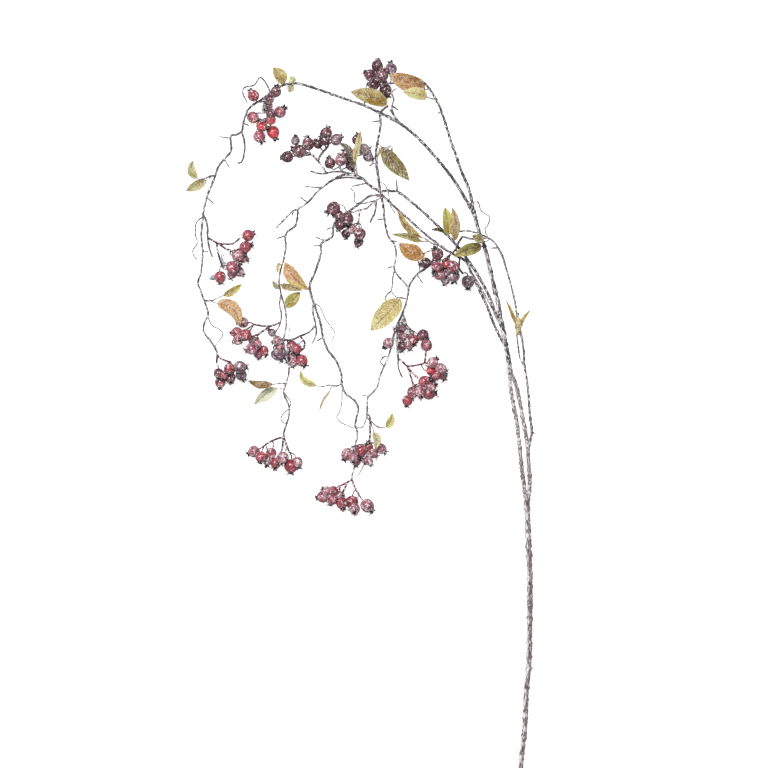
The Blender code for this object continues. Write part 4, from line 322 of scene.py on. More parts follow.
# Leaves: (name, colour, carrying strand, width, roll in degrees, length of the petiole, route
# of the midrib from the petiole's foot to the tip).
LEAVES = [
    ("leaf_01", "olive", "arch_left", 16.5, 15, 1.5, [(-81, 376.5, 37), (-84, 380, 41),
        (-89, 387, 43), (-95, 394.5, 43)]),
    ("leaf_02", "pale", "arch_left", 10.5, -20, 1, [(-71, 377.2, 39), (-73, 380, 42),
        (-77, 384.5, 42.5)]),
    ("leaf_03", "pale", "arch_left", 10, 10, 1, [(-72, 376.5, 39), (-75, 373, 36),
        (-78, 367.5, 35)]),
    ("leaf_04", "olive", "arch_leaf_twig", 20.5, 10, 2, [(31, 351, 63), (25.5, 355, 67),
        (10, 361.5, 68.5), (-10, 367, 65)]),
    ("leaf_05", "tan", "arch_right", 22.5, -15, 4, [(76, 371, 47), (71, 370, 49),
        (62, 374.5, 51.5), (49, 379, 52), (32, 386, 49)]),
    ("leaf_06", "pale", "arch_right", 16, 15, 12, [(83, 359, 49), (76, 360.5, 55), (68, 363, 60),
        (59, 365, 61), (47.5, 366.5, 60)]),
    ("leaf_07", "brown", "descent", 20, 15, 6, [(19, 312, 51.5), (25, 305, 55), (35, 292, 57),
        (45, 281, 56), (54, 270, 53)]),
    ("leaf_08", "olive", "descent", 4, 0, 1, [(18.2, 308, 50), (22, 304, 52), (18.5, 294, 54.5)]),
    ("leaf_09", "brown", "limb_left", 10, 20, 6, [(-5, 276, 41), (-7, 284, 43.5), (-10, 297, 45.5),
        (-14, 306, 45.5), (-23, 312, 43)]),
    ("leaf_10", "pale", "limb_left", 8.5, -20, 16, [(-3, 275, 42), (-4, 284, 48), (-5, 294, 52),
        (-2, 309, 53), (1, 325, 48)]),
    ("leaf_11", "olive", "curtain_leaf_twig", 11, 15, 7, [(-171, 273, 26), (-178, 273, 28),
        (-184.5, 279, 29), (-185.5, 286, 29), (-183.5, 293, 28)]),
    ("leaf_12", "olive", "curtain_leaf_twig", 12.5, -15, 7, [(-163, 276, 24.6), (-169, 271.5, 23),
        (-180, 266, 23), (-191.5, 259.5, 22)]),
    ("leaf_13", "olive", "main", 15, -15, 3, [(136.5, 198, 40), (131, 197.5, 46), (121, 195.5, 51),
        (112, 192, 53), (103, 187, 54)]),
    ("leaf_14", "tan", "leaf_twig_high", 10, 20, 6, [(73, 206, 43), (62, 210.5, 47),
        (51, 219.5, 48), (41, 238, 47)]),
    ("leaf_15", "olive", "leaf_twig_high", 8, 0, 7, [(76, 203.8, 42.3), (66, 204, 45),
        (52, 209, 45.5), (35, 211.5, 45)]),
    ("leaf_16", "tan", "limb_right", 21, 15, 12, [(83, 194, 35), (75, 193, 37), (68, 189.5, 38.5),
        (56, 191.5, 39.5), (43, 201.5, 38)]),
    ("leaf_17", "olive", "inner", 16, 20, 2, [(98, 208, 46), (97, 213, 50), (96, 226, 53),
        (93, 240.5, 54)]),
    ("leaf_18", "pale", "inner", 12, -20, 3, [(103, 203, 45.5), (104, 208, 53), (105.5, 223, 59),
        (101, 240.5, 58.5)]),
    ("leaf_19", "brown", "inner", 5, 0, 1, [(94, 212, 46), (88, 216, 51), (78, 216.5, 52)]),
    ("leaf_20", "tan", "outer", 11, 10, 9, [(142, 206, 51.6), (137, 203, 57), (132, 205, 59),
        (123, 210, 59)]),
    ("leaf_21", "tan", "curtain_low_twig", 10, 20, 12, [(-161.5, 139.5, 25), (-157, 142, 26),
        (-149, 145, 28), (-141, 149, 29), (-130, 157, 28)]),
    ("leaf_22", "tan", "curtain_low_twig", 18, -15, 8, [(-165, 139, 25), (-157, 136, 27),
        (-146.5, 133.5, 30), (-137.5, 127, 32), (-131.5, 112.5, 32)]),
    ("leaf_23", "tan", "drop_left", 18.5, 15, 2, [(-83.5, 183, 32), (-81, 178, 34.5),
        (-75, 167.5, 38), (-67.5, 159, 39), (-54.5, 149.5, 37)]),
    ("leaf_24", "olive", "drop_left", 5.5, 0, 1, [(-85, 179, 32), (-89.5, 178, 35),
        (-90.5, 169.5, 35)]),
    ("leaf_25", "pale", "drop_left", 7, 15, 1, [(-88, 151, 30.5), (-92, 154, 32), (-96, 161, 32)]),
    ("leaf_26", "brown", "drop_left", 9, 15, 2, [(-88.5, 157, 31), (-82, 154.5, 38),
        (-74, 153, 43), (-63.5, 150, 44)]),
    ("leaf_27", "olive", "right_bridge", 25.5, 12, 2, [(45, 142, 29), (42.5, 138.5, 32),
        (34, 129, 36), (23, 117.5, 36), (11.5, 106, 33)]),
    ("leaf_28", "tan", "outer", 6, 30, 1, [(175.8, 104, 29.6), (173, 111, 35.5), (168, 121, 37.5),
        (164.5, 130, 40), (160.5, 139, 41)]),
    ("leaf_29", "tan", "outer", 6, -30, 1, [(174.8, 108, 30.5), (177.5, 114, 34), (180.5, 120, 36),
        (187, 128.5, 38)]),
    ("leaf_30", "brown", "left_leaf_twig", 11, 25, 8, [(-88, 48, 27), (-97, 46.8, 31),
        (-110, 45.8, 32.5), (-123, 51, 30)]),
    ("leaf_31", "pale", "drop_right", 14, -15, 7, [(-83, 42, 25.5), (-92, 42, 25),
        (-103.5, 36, 24.5), (-116.5, 25, 23)]),
    ("leaf_32", "pale", "low_leaf_twig", 9.5, 15, 5, [(-43, 44, 26), (-50, 46, 28),
        (-57.5, 48.5, 29), (-63, 53, 29), (-65.5, 61.5, 28)]),
    ("leaf_33", "pale", "low_leaf_twig", 4.5, 0, 4, [(-31, 46, 25), (-34, 38.5, 26),
        (-40.5, 29, 26), (-45, 17, 25)]),
    ("leaf_34", "pale", "right_leaf_twig", 10.5, 15, 2, [(26, -0.5, 22), (30, 1, 24),
        (34, 7.5, 25), (35.5, 15, 25)]),
    ("leaf_35", "pale", "right_drop", 10.5, -15, 1, [(15, -5, 24.5), (16, -7.5, 27),
        (18.5, -14, 30), (17, -24.5, 31.5)]),
    ("leaf_36", "olive", "drop_right", 15, -10, 2, [(-83, 132.5, 30.5), (-80, 133.5, 34),
        (-74, 139.5, 35.5), (-66, 148, 34.5)]),
]


def linear(colour: str) -> np.ndarray:
    """Turn an sRGB hex colour into linear RGB.

    Args:
        colour: six hex digits after a hash sign.

    Returns:
        Three linear values.
    """
    parts = np.array([int(colour[i:i + 2], 16) for i in (1, 3, 5)]) / 255
    return np.where(parts <= 0.04045, parts / 12.92, ((parts + 0.055) / 1.055) ** 2.4)


def rgba(colour: str) -> tuple[float, ...]:
    """Linear RGB and full alpha of an sRGB hex colour."""
    return (*linear(colour), 1.0)


class BarkTone(Enum):
    """Colours of bark, from thick dark strands to thin pale ones, and of red stalks."""

    DARK = "#50444a"
    MAUVE = "#846e6e"
    GREY = "#645860"
    PALE = "#807478"
    PLUM = "#5c3440"
    RED = "#7c2c3a"


@dataclass(frozen=True)
class SkinTone:
    """Colour of one hip's skin.

    Attributes:
        colour: sRGB hex colour of the skin.
        bloom: share of the skin under fine pale bloom.
        frost: share of the skin under white grains.
    """

    colour: str
    bloom: float
    frost: float


SKINS = {
    "R": SkinTone("#c42434", 0.14, 0.20),
    "r": SkinTone("#a0243a", 0.18, 0.24),
    "k": SkinTone("#9c3048", 0.26, 0.28),
    "p": SkinTone("#983c54", 0.38, 0.36),
    "m": SkinTone("#602032", 0.18, 0.24),
    "d": SkinTone("#48141e", 0.10, 0.18),
    "l": SkinTone("#5c3850", 0.46, 0.30),
    "w": SkinTone("#74404e", 0.40, 0.56),
}
# One letter of SKINS for each hip of a bunch, in the order of the bunch's table.
HIP_SKINS = {
    "hips_01": "rmpkkmRkRpR", "hips_02": "dlmmddwr", "hips_03": "dmlmdmdl",
    "hips_04": "mpdwldm", "hips_05": "mmdpmmdd", "hips_06": "rrpkprkp",
    "hips_07": "dmkRkplwlp", "hips_08": "pkrkprkpk", "hips_09": "lplkrprmrp",
    "hips_10": "pppmprmw", "hips_11": "kpRpprkpkrkpr", "hips_12": "mrkmlldk",
    "hips_13": "pprpppprk", "hips_14": "pkkprrppr", "hips_15": "prkrprpp",
}
SEPALS = 5                    # round each hip's crown
# SEPAL_LIT is painted light: the brown of sepals on crowns that tilt up, where other sepals are
# nearly black.
SEPAL_COLOUR, SEPAL_LIT, TUFT_COLOUR, RIM_COLOUR = "#1f1618", "#8c5c60", "#1c1315", "#b99a94"
PETIOLE_COLOUR = "#6e5a4a"


@dataclass(frozen=True)
class LeafTone:
    """Colours of one dry leaf.

    Attributes:
        base: sRGB hex colour at the petiole and along the midrib.
        tip: sRGB hex colour at the tip and along the edge.
        speckle: share of brown speckles along the veins.
        frost: share of white grains.
        taper: how slowly the blade widens from its two ends.
    """

    base: str
    tip: str
    speckle: float
    frost: float
    taper: float = 0.75


LEAF_TONES = {f"leaf_{i:02}": LeafTone(*row) for i, row in enumerate([
    ("#b4a056", "#d8ca84", 0.40, 0.20), ("#d4d69c", "#e0e6a4", 0.10, 0.25),
    ("#b8b890", "#c4c89c", 0.10, 0.25), ("#9c7c24", "#c4c08c", 0.45, 0.08),
    ("#ac7434", "#d0a868", 0.55, 0.28), ("#c8b868", "#d8d898", 0.20, 0.28),
    ("#7c6640", "#9c9850", 0.60, 0.24, 0.9), ("#d0c8a4", "#e0d8b8", 0.30, 0.20),
    ("#5c4a40", "#74645c", 0.50, 0.20), ("#b8ac78", "#d4cc94", 0.25, 0.24),
    ("#b4ac68", "#ccd094", 0.25, 0.26), ("#b0a464", "#c8c88c", 0.30, 0.28),
    ("#807030", "#bcbc64", 0.30, 0.14), ("#a87c40", "#ccc470", 0.40, 0.20),
    ("#9c8c4c", "#c0d090", 0.25, 0.22), ("#b47c34", "#d09c4c", 0.40, 0.22),
    ("#c8b450", "#ccd45c", 0.15, 0.26), ("#b09860", "#c0a878", 0.45, 0.30),
    ("#382c14", "#605434", 0.45, 0.16), ("#8c8454", "#acac80", 0.35, 0.26),
    ("#c0a868", "#d8d85c", 0.20, 0.20), ("#cc9c6a", "#e0bc86", 0.45, 0.30),
    ("#d09c74", "#dcc86c", 0.30, 0.24, 1.15), ("#e8dfaa", "#ece6ac", 0.15, 0.16),
    ("#a4ac8c", "#b8bc9c", 0.20, 0.28), ("#a88c60", "#c4b878", 0.45, 0.24),
    ("#d0bc6c", "#e4e298", 0.40, 0.30), ("#ba9c48", "#e4d884", 0.20, 0.14),
    ("#a0985a", "#e0d898", 0.30, 0.14), ("#a88450", "#80704c", 0.40, 0.20),
    ("#dce8c4", "#ecf4dc", 0.20, 0.34), ("#ccc48c", "#e4ec90", 0.15, 0.16),
    ("#e0dcc4", "#f0f0dc", 0.10, 0.22), ("#d0c87e", "#e8ec9e", 0.12, 0.18),
    ("#ccc494", "#e0dcb0", 0.16, 0.22), ("#a8983c", "#c4c068", 0.30, 0.20),
], 1)}


@dataclass(frozen=True)
class StrandLook:
    """Finish of one strand.

    Attributes:
        tone: colour of the bark.
        frost: share of frost.
        swell: finished thickness over that of the layout.
    """

    tone: BarkTone
    frost: float
    swell: float = 1.0


# Finish of most strands, up to each radius in millimetres.
PLAIN_LOOKS = (
    (0.75, StrandLook(BarkTone.PALE, 0.15)), (1.15, StrandLook(BarkTone.GREY, 0.26)),
    (math.inf, StrandLook(BarkTone.DARK, 0.34)),
)
# Strands that differ from others of their thickness: frost, and swell if any, by tone.
STRAND_LOOKS = {name: StrandLook(tone, frost, *swell) for tone, rows in {
    BarkTone.MAUVE: [
        ("trunk", 0.46), ("fork_left", 0.46), ("fork_right", 0.46),
        ("low_back", 0.45, 0.9)],
    BarkTone.DARK: [("main", 0.48), ("arch_left", 0.27)],
    BarkTone.PALE: [
        ("between", 0.40, 0.9), ("right_join", 0.35, 0.8), ("right_leaf_twig", 0.30, 0.85),
        ("right_drop", 0.44, 0.75), ("leaf_twig_high", 0.30, 0.9)],
    BarkTone.GREY: [
        ("outer", 0.34, 1.03), ("outer_twin", 0.42), ("limb_left_twin", 0.12, 1.2),
        ("blunt_left", 0.14, 1.1), ("drop_left", 0.20), ("drop_right", 0.30),
        ("drop_curl", 0.20, 1.2), ("limb_low", 0.30), ("low_side", 0.14, 1.1),
        ("low_branch", 0.10, 1.2), ("hub_spur", 0.15, 1.5), ("limb_right", 0.42),
        ("right_back", 0.44), ("right_loop", 0.20, 1.35), ("right_strand", 0.20, 1.2),
        ("curtain", 0.26), ("curtain_side", 0.15, 1.2), ("curtain_curl", 0.15, 1.2),
        ("curtain_loop", 0.08, 1.7), ("top_curl", 0.18, 1.35),
        ("curtain_leaf_twig", 0.12, 1.15), ("curtain_low_twig", 0.12, 1.2),
        ("hub_tendril", 0.15, 1.25), ("arch_curl", 0.12, 1.2), ("arch_leaf_twig", 0.08, 1.4),
        ("side_leaf_twig", 0.15, 1.25), ("left_leaf_twig", 0.08, 1.4)],
}.items() for name, frost, *swell in rows}

# Finish of the peduncles and stalks of each bunch, in order.
BUNCH_STALKS = {f"hips_{i:02}": StrandLook(*row) for i, row in enumerate([
    (BarkTone.GREY, 0.35), (BarkTone.GREY, 0.40), (BarkTone.DARK, 0.30), (BarkTone.DARK, 0.30),
    (BarkTone.MAUVE, 0.40), (BarkTone.PLUM, 0.30), (BarkTone.PLUM, 0.14), (BarkTone.PLUM, 0.12),
    (BarkTone.PLUM, 0.12), (BarkTone.GREY, 0.35), (BarkTone.RED, 0.25), (BarkTone.PLUM, 0.25),
    (BarkTone.PLUM, 0.35), (BarkTone.RED, 0.35), (BarkTone.PLUM, 0.30),
], 1)}

# Small soft growths: (piece that carries it, sRGB colour, greatest radius, share of frost,
# route). They are the wax on one bunch, a curl beside a leaf, the pale sheath round the
# foot of a pair of leaves, and two thin threads.
GROWTHS = [
    ("hips_06", "#8797a6", 1.3, 0.35, [(-153, 190, 24), (-151, 182, 25), (-149, 173, 23)]),
    ("hips_06", "#8797a6", 3.0, 0.15, [(-158, 166, 18), (-162, 164.5, 17), (-166, 163.5, 16)]),
    ("bark_main", "#6c7c74", 1.4, 0.45, [(27, 302, 58), (30, 306, 58), (34, 307, 58),
        (35, 303, 58), (32, 301, 58)]),
    ("bark_main", "#d8c48c", 4.2, 0.12, [(174, 101, 31), (174, 111, 34), (173.5, 121, 36)]),
    ("bark_limbs", "#8a7e82", 0.45, 0.2, [(-86, 113, 29), (-81, 111, 31), (-77.5, 107, 32),
        (-79, 100, 32), (-82, 98, 31)]),
    ("bark_limbs", "#a89898", 0.45, 0.2, [(6, -38, 20), (0, -50, 14), (-7, -58, 10)]),
]
GROWTH_STEP = 0.6 * MM        # spacing of their rings
GROWTH_SIDES = 8
GROWTH_RELIEF = 0.25          # over the radius

# Heaps of frost: (piece that carries it, middle, radius, number of grains).
CLUMPS = [
    ("bark_main", (22, 258, 46), 5.0, 60), ("bark_limbs", (28, 393, 32), 3.0, 20),
    ("bark_main", (87, 344, 53), 2.5, 25), ("bark_main", (38, 336, 58), 4.0, 40),
    ("hips_01", (-105, 352, 27), 4.0, 40), ("hips_06", (-150, 190, 24), 5.0, 60),
    ("hips_06", (-148, 181, 22), 4.0, 40), ("hips_10", (38, 96, 28), 5.0, 60),
    ("hips_10", (36, 88, 27), 4.0, 40), ("hips_13", (-8, -32, 27), 5.0, 70),
    ("hips_15", (-103, -38, 16), 4.0, 40), ("hips_09", (-80, 84, 20), 3.5, 40),
    ("hips_12", (-146, 52, 16), 4.0, 40), ("hips_11", (74, 44, 22), 5.0, 60),
    ("hips_14", (-22, -78, 16), 4.5, 50), ("hips_08", (-120, 96, 22), 4.0, 40),
    ("hips_07", (96, 168, 38), 4.0, 40), ("hips_04", (-24, 292, 40), 4.0, 40),
]

# First random seed of each kind of thing.
GROWTH_SEED, BARK_FROST_SEED, STRAND_SEED, SPUR_SEED = 40, 50, 100, 300
BUNCH_SEED, LEAF_SEED, BUNCH_FROST_SEED, LEAF_FROST_SEED = 500, 700, 900, 1500


@dataclass
class Shell:
    """A closed surface and the values painted on it. What isn't given is zero.

    Attributes:
        points: places in metres, one row each.
        faces: rows of four point numbers, the last repeated for a triangle.
        colour: linear RGB and a fourth value, for each point.
        edge: a second linear colour and a fourth value, for each point.
        frost: share of white grains at each point.
        uv: place on the surface for each point.
        finish: number of the piece's material.
        smooth: whether its faces are shaded as one curved surface.
    """

    points: np.ndarray
    faces: np.ndarray
    colour: np.ndarray
    edge: np.ndarray | None = None
    frost: np.ndarray | None = None
    uv: np.ndarray | None = None
    finish: int = 0
    smooth: bool = True

    def __post_init__(self) -> None:
        """Fill in the zeros."""
        for label, columns in (("edge", [4]), ("frost", []), ("uv", [2])):
            if getattr(self, label) is None:
                setattr(self, label, np.zeros([len(self.points), *columns]))


def paint(count: int, colour: np.ndarray, fourth: float = 0.0) -> np.ndarray:
    """Give every point the same linear colour and fourth value."""
    return np.tile(np.append(colour, fourth), (count, 1))


def unit(vectors: np.ndarray) -> np.ndarray:
    """Scale vectors to length one, along the last axis."""
    return vectors / np.maximum(np.linalg.norm(vectors, axis=-1, keepdims=True), 1e-12)


def bell(values: np.ndarray, middle: float | np.ndarray, width: float) -> np.ndarray:
    """Bell curve of height one: e to minus the square of the distance over the width."""
    return np.exp(-((values - middle) / width) ** 2)


def nearest(path: np.ndarray, place: np.ndarray) -> int:
    """Number of the path's point that is nearest to a place."""
    return int(np.argmin(np.linalg.norm(path - place, axis=1)))


def distances(path: np.ndarray) -> np.ndarray:
    """Length along a path up to each of its points."""
    return np.append(0, np.cumsum(np.linalg.norm(np.diff(path, axis=0), axis=1)))


def smooth_route(route: Route, step: float) -> np.ndarray:
    """Points on a smooth curve through a route.

    Each span is a Hermite cubic. The slope at a point is the difference of its neighbours
    over the length of the two spans beside it.

    Args:
        route: points in millimetres.
        step: spacing of the result in metres.

    Returns:
        Points in metres, one row each.
    """
    knots = np.array(route, float) * MM
    padded = np.vstack([knots[:1], knots, knots[-1:]])
    spans = np.linalg.norm(np.diff(knots, axis=0), axis=1)
    around = np.append(0, spans) + np.append(spans, 0)
    slopes = (padded[2:] - padded[:-2]) / around[:, None]
    pieces = []
    for i, span in enumerate(spans):
        t = np.linspace(0, 1, max(2, math.ceil(span / step)) + 1)[:-1, None]
        pieces.append((2 * t**3 - 3 * t**2 + 1) * knots[i] + (3 * t**2 - 2 * t**3) * knots[i + 1]
                      + span * ((t**3 - 2 * t**2 + t) * slopes[i] + (t**3 - t**2) * slopes[i + 1]))
    return np.vstack(pieces + [knots[-1:]])


def side_frames(path: np.ndarray, level: bool = False
                ) -> tuple[np.ndarray, np.ndarray, np.ndarray]:
    """Tangent and two directions square to it at each point of a path.

    The first direction is the tangent crossed with Z, or where the path runs mostly along Z,
    with the axis that it leans on least.

    Args:
        path: points in metres.
        level: whether the first direction is level on a steep path, too.

    Returns:
        Tangents, side directions and up directions.
    """
    tangents = unit(np.gradient(path, axis=0))
    lean = np.abs(tangents).max(axis=0)
    reference = np.zeros(3)
    reference[2 if level or lean[2] < STEEP else int(np.argmin(lean))] = 1.0
    sides = unit(np.cross(tangents, reference))
    return tangents, sides, np.cross(sides, tangents)


def softened(values: np.ndarray, times: int = 1) -> np.ndarray:
    """Average random values with their neighbours along and round a tube."""
    for _ in range(times):
        along = np.vstack([values[:1], values, values[-1:]])
        values = (along[:-2] + 2 * values + along[2:]) / 4
        values = (np.roll(values, 1, axis=1) + 2 * values + np.roll(values, -1, axis=1)) / 4
    return values


def ring_faces(rings: int, sides: int) -> np.ndarray:
    """Faces of a tube of rings, with a middle point at each end.

    Points are numbered ring by ring, then the first end's middle, then the last end's.

    Args:
        rings: number of rings.
        sides: points in each ring.

    Returns:
        Rows of four point numbers, facing outwards.
    """
    k = np.arange(sides)
    after = (k + 1) % sides
    start = np.arange(rings - 1)[:, None] * sides
    wall = np.stack([start + k, start + after, start + sides + after, start + sides + k], -1)
    foot = np.full(sides, rings * sides)
    last = (rings - 1) * sides
    foot_cap = np.stack([after, k, foot, foot], -1)
    tip_cap = np.stack([last + k, last + after, foot + 1, foot + 1], -1)
    return np.vstack([wall.reshape(-1, 4), foot_cap, tip_cap])


def turned(faces: np.ndarray) -> np.ndarray:
    """Turn faces to their other side. A triangle's repeated point stays its last."""
    return faces[:, [1, 0, 3, 2]]


def tube(path: np.ndarray, radii: np.ndarray, relief: np.ndarray) -> np.ndarray:
    """Points of a tube: centre line plus radius times one plus relief, round the path.

    Args:
        path: centre line in metres.
        radii: radius at each point of the path.
        relief: share of the radius added at each point, one row for each ring.

    Returns:
        Points ring by ring, then the middles of the two ends.
    """
    _, side, up = side_frames(path)
    sides = relief.shape[1]
    angle = np.arange(sides) * 2 * math.pi / sides
    spoke = (np.cos(angle)[None, :, None] * side[:, None, :]
             + np.sin(angle)[None, :, None] * up[:, None, :])
    reach = radii[:, None] * (1 + relief)
    rings = path[:, None, :] + reach[..., None] * spoke
    return np.vstack([rings.reshape(-1, 3), path[:1], path[-1:]])


def wrapped(path: np.ndarray, radii: np.ndarray, sides: int, shift: float) -> np.ndarray:
    """UV map of a tube: the way along it and the way round it, UV_PER_METRE for a metre.

    The way round grows over one half of the tube and shrinks over the other, so that the
    map has no seam.

    Args:
        path: centre line in metres.
        radii: radius at each point of the path.
        sides: points round the tube.
        shift: added to the way along it, so that no two tubes look the same.

    Returns:
        One row for each of the tube's points.
    """
    k = np.arange(sides)
    turn = np.minimum(k, sides - k) * 2 * math.pi / sides
    along = np.repeat(distances(path) + shift, sides)
    places = np.stack([along, (radii[:, None] * turn[None, :]).ravel()], -1)
    return np.vstack([places, places[:1], places[-1:]]) * UV_PER_METRE


def rough(rng: np.random.Generator, rings: int, sides: int, depth: float) -> np.ndarray:
    """Softened random relief of a tube, whose usual depth is a share of the radius."""
    return softened(rng.normal(0, 1, (rings, sides))) * depth


def tube_shell(path: np.ndarray, radii: np.ndarray, relief: np.ndarray, colour: np.ndarray,
               frost: float, finish: int, uv: np.ndarray | None = None) -> Shell:
    """Build a tube in one colour, with frost spread evenly.

    Args:
        path: centre line in metres.
        radii: radius at each point of the path.
        relief: share of the radius added at each point, one row for each ring.
        colour: linear RGB.
        frost: share of white grains.
        finish: number of the piece's material.
        uv: place on the surface for each point.

    Returns:
        The closed shell.
    """
    points = tube(path, radii, relief)
    return Shell(points, ring_faces(*relief.shape), paint(len(points), colour),
                 frost=np.full(len(points), frost), uv=uv, finish=finish)


def growths(owner: str, finish: int) -> list[Shell]:
    """Build the small growths of a piece.

    The radius is the greatest one times a third plus two thirds of a half sine wave.

    Args:
        owner: the piece that carries them.
        finish: number of the piece's material.

    Returns:
        Closed shells.
    """
    made = []
    for i, (carrier, colour, greatest, share, route) in enumerate(GROWTHS):
        if carrier == owner:
            path = smooth_route(route, GROWTH_STEP)
            along = distances(path) / distances(path)[-1]
            radii = greatest * MM * (0.33 + 0.67 * np.sin(math.pi * along))
            relief = rough(np.random.default_rng(GROWTH_SEED + i), len(path), GROWTH_SIDES,
                           GROWTH_RELIEF)
            made.append(tube_shell(path, radii, relief, linear(colour), share, finish,
                                   wrapped(path, radii, GROWTH_SIDES, i * 20 * MM)))
    return made


@dataclass
class Frosting:
    """White grains stuck to one piece.

    Attributes:
        seed: start of the random numbers.
        heap_sizes: least and greatest radius of a grain in a heap, in millimetres.
        proportions: shortest and longest arm of a crystal over its grain's radius.
        places: centres of the grains, in batches.
        sizes: radii of the grains, in batches.
    """

    seed: int
    heap_sizes: tuple[float, float] = (0.35, 0.75)
    proportions: tuple[float, float] = (0.7, 1.15)
    places: list[np.ndarray] = field(default_factory=list)
    sizes: list[np.ndarray] = field(default_factory=list)

    def scatter(self, places: np.ndarray, smallest: float, largest: float) -> None:
        """Put a grain at each place.

        Args:
            places: centres in metres.
            smallest: least radius in millimetres.
            largest: greatest radius in millimetres.
        """
        rng = np.random.default_rng(self.seed + len(self.places))
        self.places.append(places)
        self.sizes.append(rng.uniform(smallest, largest, len(places)) * MM)

    def dust(self, points: np.ndarray, count: int, jitter: float,
             sizes: tuple[float, float], rng: np.random.Generator) -> None:
        """Stick grains near random points of a surface.

        Args:
            points: the surface's points.
            count: number of grains.
            jitter: usual distance from the point in metres.
            sizes: least and greatest radius in millimetres.
            rng: random numbers of the surface.
        """
        pick = rng.integers(0, len(points), count)
        self.scatter(points[pick] + rng.normal(0, jitter, (count, 3)), *sizes)

    def heap(self, owner: str) -> None:
        """Add the heaps of a piece, whose grains thin outwards from the middle."""
        for carrier, centre, reach, count in CLUMPS:
            if carrier == owner:
                rng = np.random.default_rng(self.seed + 7 * len(self.places))
                spread = rng.normal(0, reach / 2.2, (count, 3))
                self.scatter((np.array(centre) + spread) * MM, *self.heap_sizes)

    def shell(self, finish: int) -> Shell:
        """Build every grain as an eight-sided crystal with its own turn and proportions.

        A crystal has a corner at plus and minus its length on each of three square axes.
        The axes are the columns of a random rotation.

        Args:
            finish: number of the piece's material.

        Returns:
            One shell that holds all the grains.
        """
        rng = np.random.default_rng(self.seed)
        centres, sizes = np.vstack(self.places), np.concatenate(self.sizes)
        count = len(centres)
        turn = np.linalg.qr(rng.normal(size=(count, 3, 3)))[0]
        turn[:, :, 0] *= np.sign(np.linalg.det(turn))[:, None]
        arms = turn * (rng.uniform(*self.proportions, (count, 1, 3)) * sizes[:, None, None])
        axes = np.swapaxes(arms, 1, 2)
        corners = centres[:, None, :] + np.concatenate([axes, -axes], axis=1)
        octants = np.array([(0, 1, 2, 2), (1, 3, 2, 2), (3, 4, 2, 2), (4, 0, 2, 2),
                            (1, 0, 5, 5), (3, 1, 5, 5), (4, 3, 5, 5), (0, 4, 5, 5)])
        faces = (np.arange(count)[:, None, None] * 6 + octants[None]).reshape(-1, 4)
        return Shell(corners.reshape(-1, 3), faces, paint(6 * count, np.ones(3)),
                     finish=finish, smooth=False)


def joined(shells: list[Shell], label: str) -> np.ndarray:
    """One kind of value of all the shells, in their order."""
    return np.concatenate([getattr(shell, label) for shell in shells])


def store(rows: bpy.types.bpy_prop_collection, key: str, values: np.ndarray,
          kind: type = np.float32) -> None:
    """Write an array into one property of a mesh's rows."""
    rows.foreach_set(key, values.astype(kind).ravel())


def build_piece(name: str, shells: list[Shell], finishes: list[bpy.types.Material]
                ) -> bpy.types.Object:
    """Make one mesh object of shells, with its place in its mesh.

    Nothing reaches out of the solids' box: points beyond it are moved on to it.

    Args:
        name: name of the piece.
        shells: the closed surfaces.
        finishes: materials, numbered as the shells number them.

    Returns:
        The linked object.
    """
    points = np.clip(joined(shells, "points"), *np.array(CAD_BOX))
    starts = np.cumsum([0] + [len(s.points) for s in shells[:-1]])
    faces = np.vstack([s.faces + start for s, start in zip(shells, starts)])
    counts = [len(s.faces) for s in shells]
    corners = np.where(faces[:, 2] == faces[:, 3], 3, 4)
    loops = faces.ravel()[(np.arange(4)[None, :] < corners[:, None]).ravel()]
    mesh = bpy.data.meshes.new(name)
    mesh.vertices.add(len(points))
    store(mesh.vertices, "co", points)
    mesh.loops.add(len(loops))
    store(mesh.loops, "vertex_index", loops, np.int32)
    mesh.polygons.add(len(faces))
    store(mesh.polygons, "loop_start", np.append(0, np.cumsum(corners)[:-1]), np.int32)
    mesh.update(calc_edges=True)
    store(mesh.polygons, "use_smooth", np.repeat([s.smooth for s in shells], counts), bool)
    store(mesh.polygons, "material_index", np.repeat([s.finish for s in shells], counts),
          np.int32)
    for label in ("colour", "edge"):
        layer = mesh.color_attributes.new(label, "FLOAT_COLOR", "POINT")
        store(layer.data, "color", joined(shells, label))
    store(mesh.attributes.new("frost", "FLOAT", "POINT").data, "value", joined(shells, "frost"))
    store(mesh.uv_layers.new(name="surface").data, "uv", joined(shells, "uv")[loops])
    for material in finishes:
        mesh.materials.append(material)
    piece = bpy.data.objects.new(name, mesh)
    bpy.context.scene.collection.objects.link(piece)
    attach(piece, "root")
    LOG.info("%s: %d faces", name, len(faces))
    return piece


def feed(node: bpy.types.Node, inputs: dict) -> None:
    """Give each named input of a node its value, or link the output socket that feeds it."""
    for key, value in inputs.items():
        if isinstance(value, bpy.types.NodeSocket):
            node.id_data.links.new(value, node.inputs[key])
        else:
            node.inputs[key].default_value = value


def add_node(tree: bpy.types.NodeTree, kind: str, inputs: dict | tuple = (),
             out: int | str = 0, **settings: object) -> bpy.types.NodeSocket:
    """Add a shader node.

    Args:
        tree: the material's node tree.
        kind: the node's type, without its ShaderNode prefix.
        inputs: a value or the output socket that feeds it for each input name or number, or
            a tuple of them for the first inputs in order.
        out: name or number of the output to return.
        settings: the node's own properties.

    Returns:
        An output of the new node.
    """
    node = tree.nodes.new("ShaderNode" + kind)
    for key, value in settings.items():
        setattr(node, key, value)
    feed(node, inputs if isinstance(inputs, dict) else dict(enumerate(inputs)))
    return node.outputs[out]


def per_mm(size: float) -> float:
    """Texture scale for a pattern whose features are a size in millimetres."""
    return 1 / (size * MM)


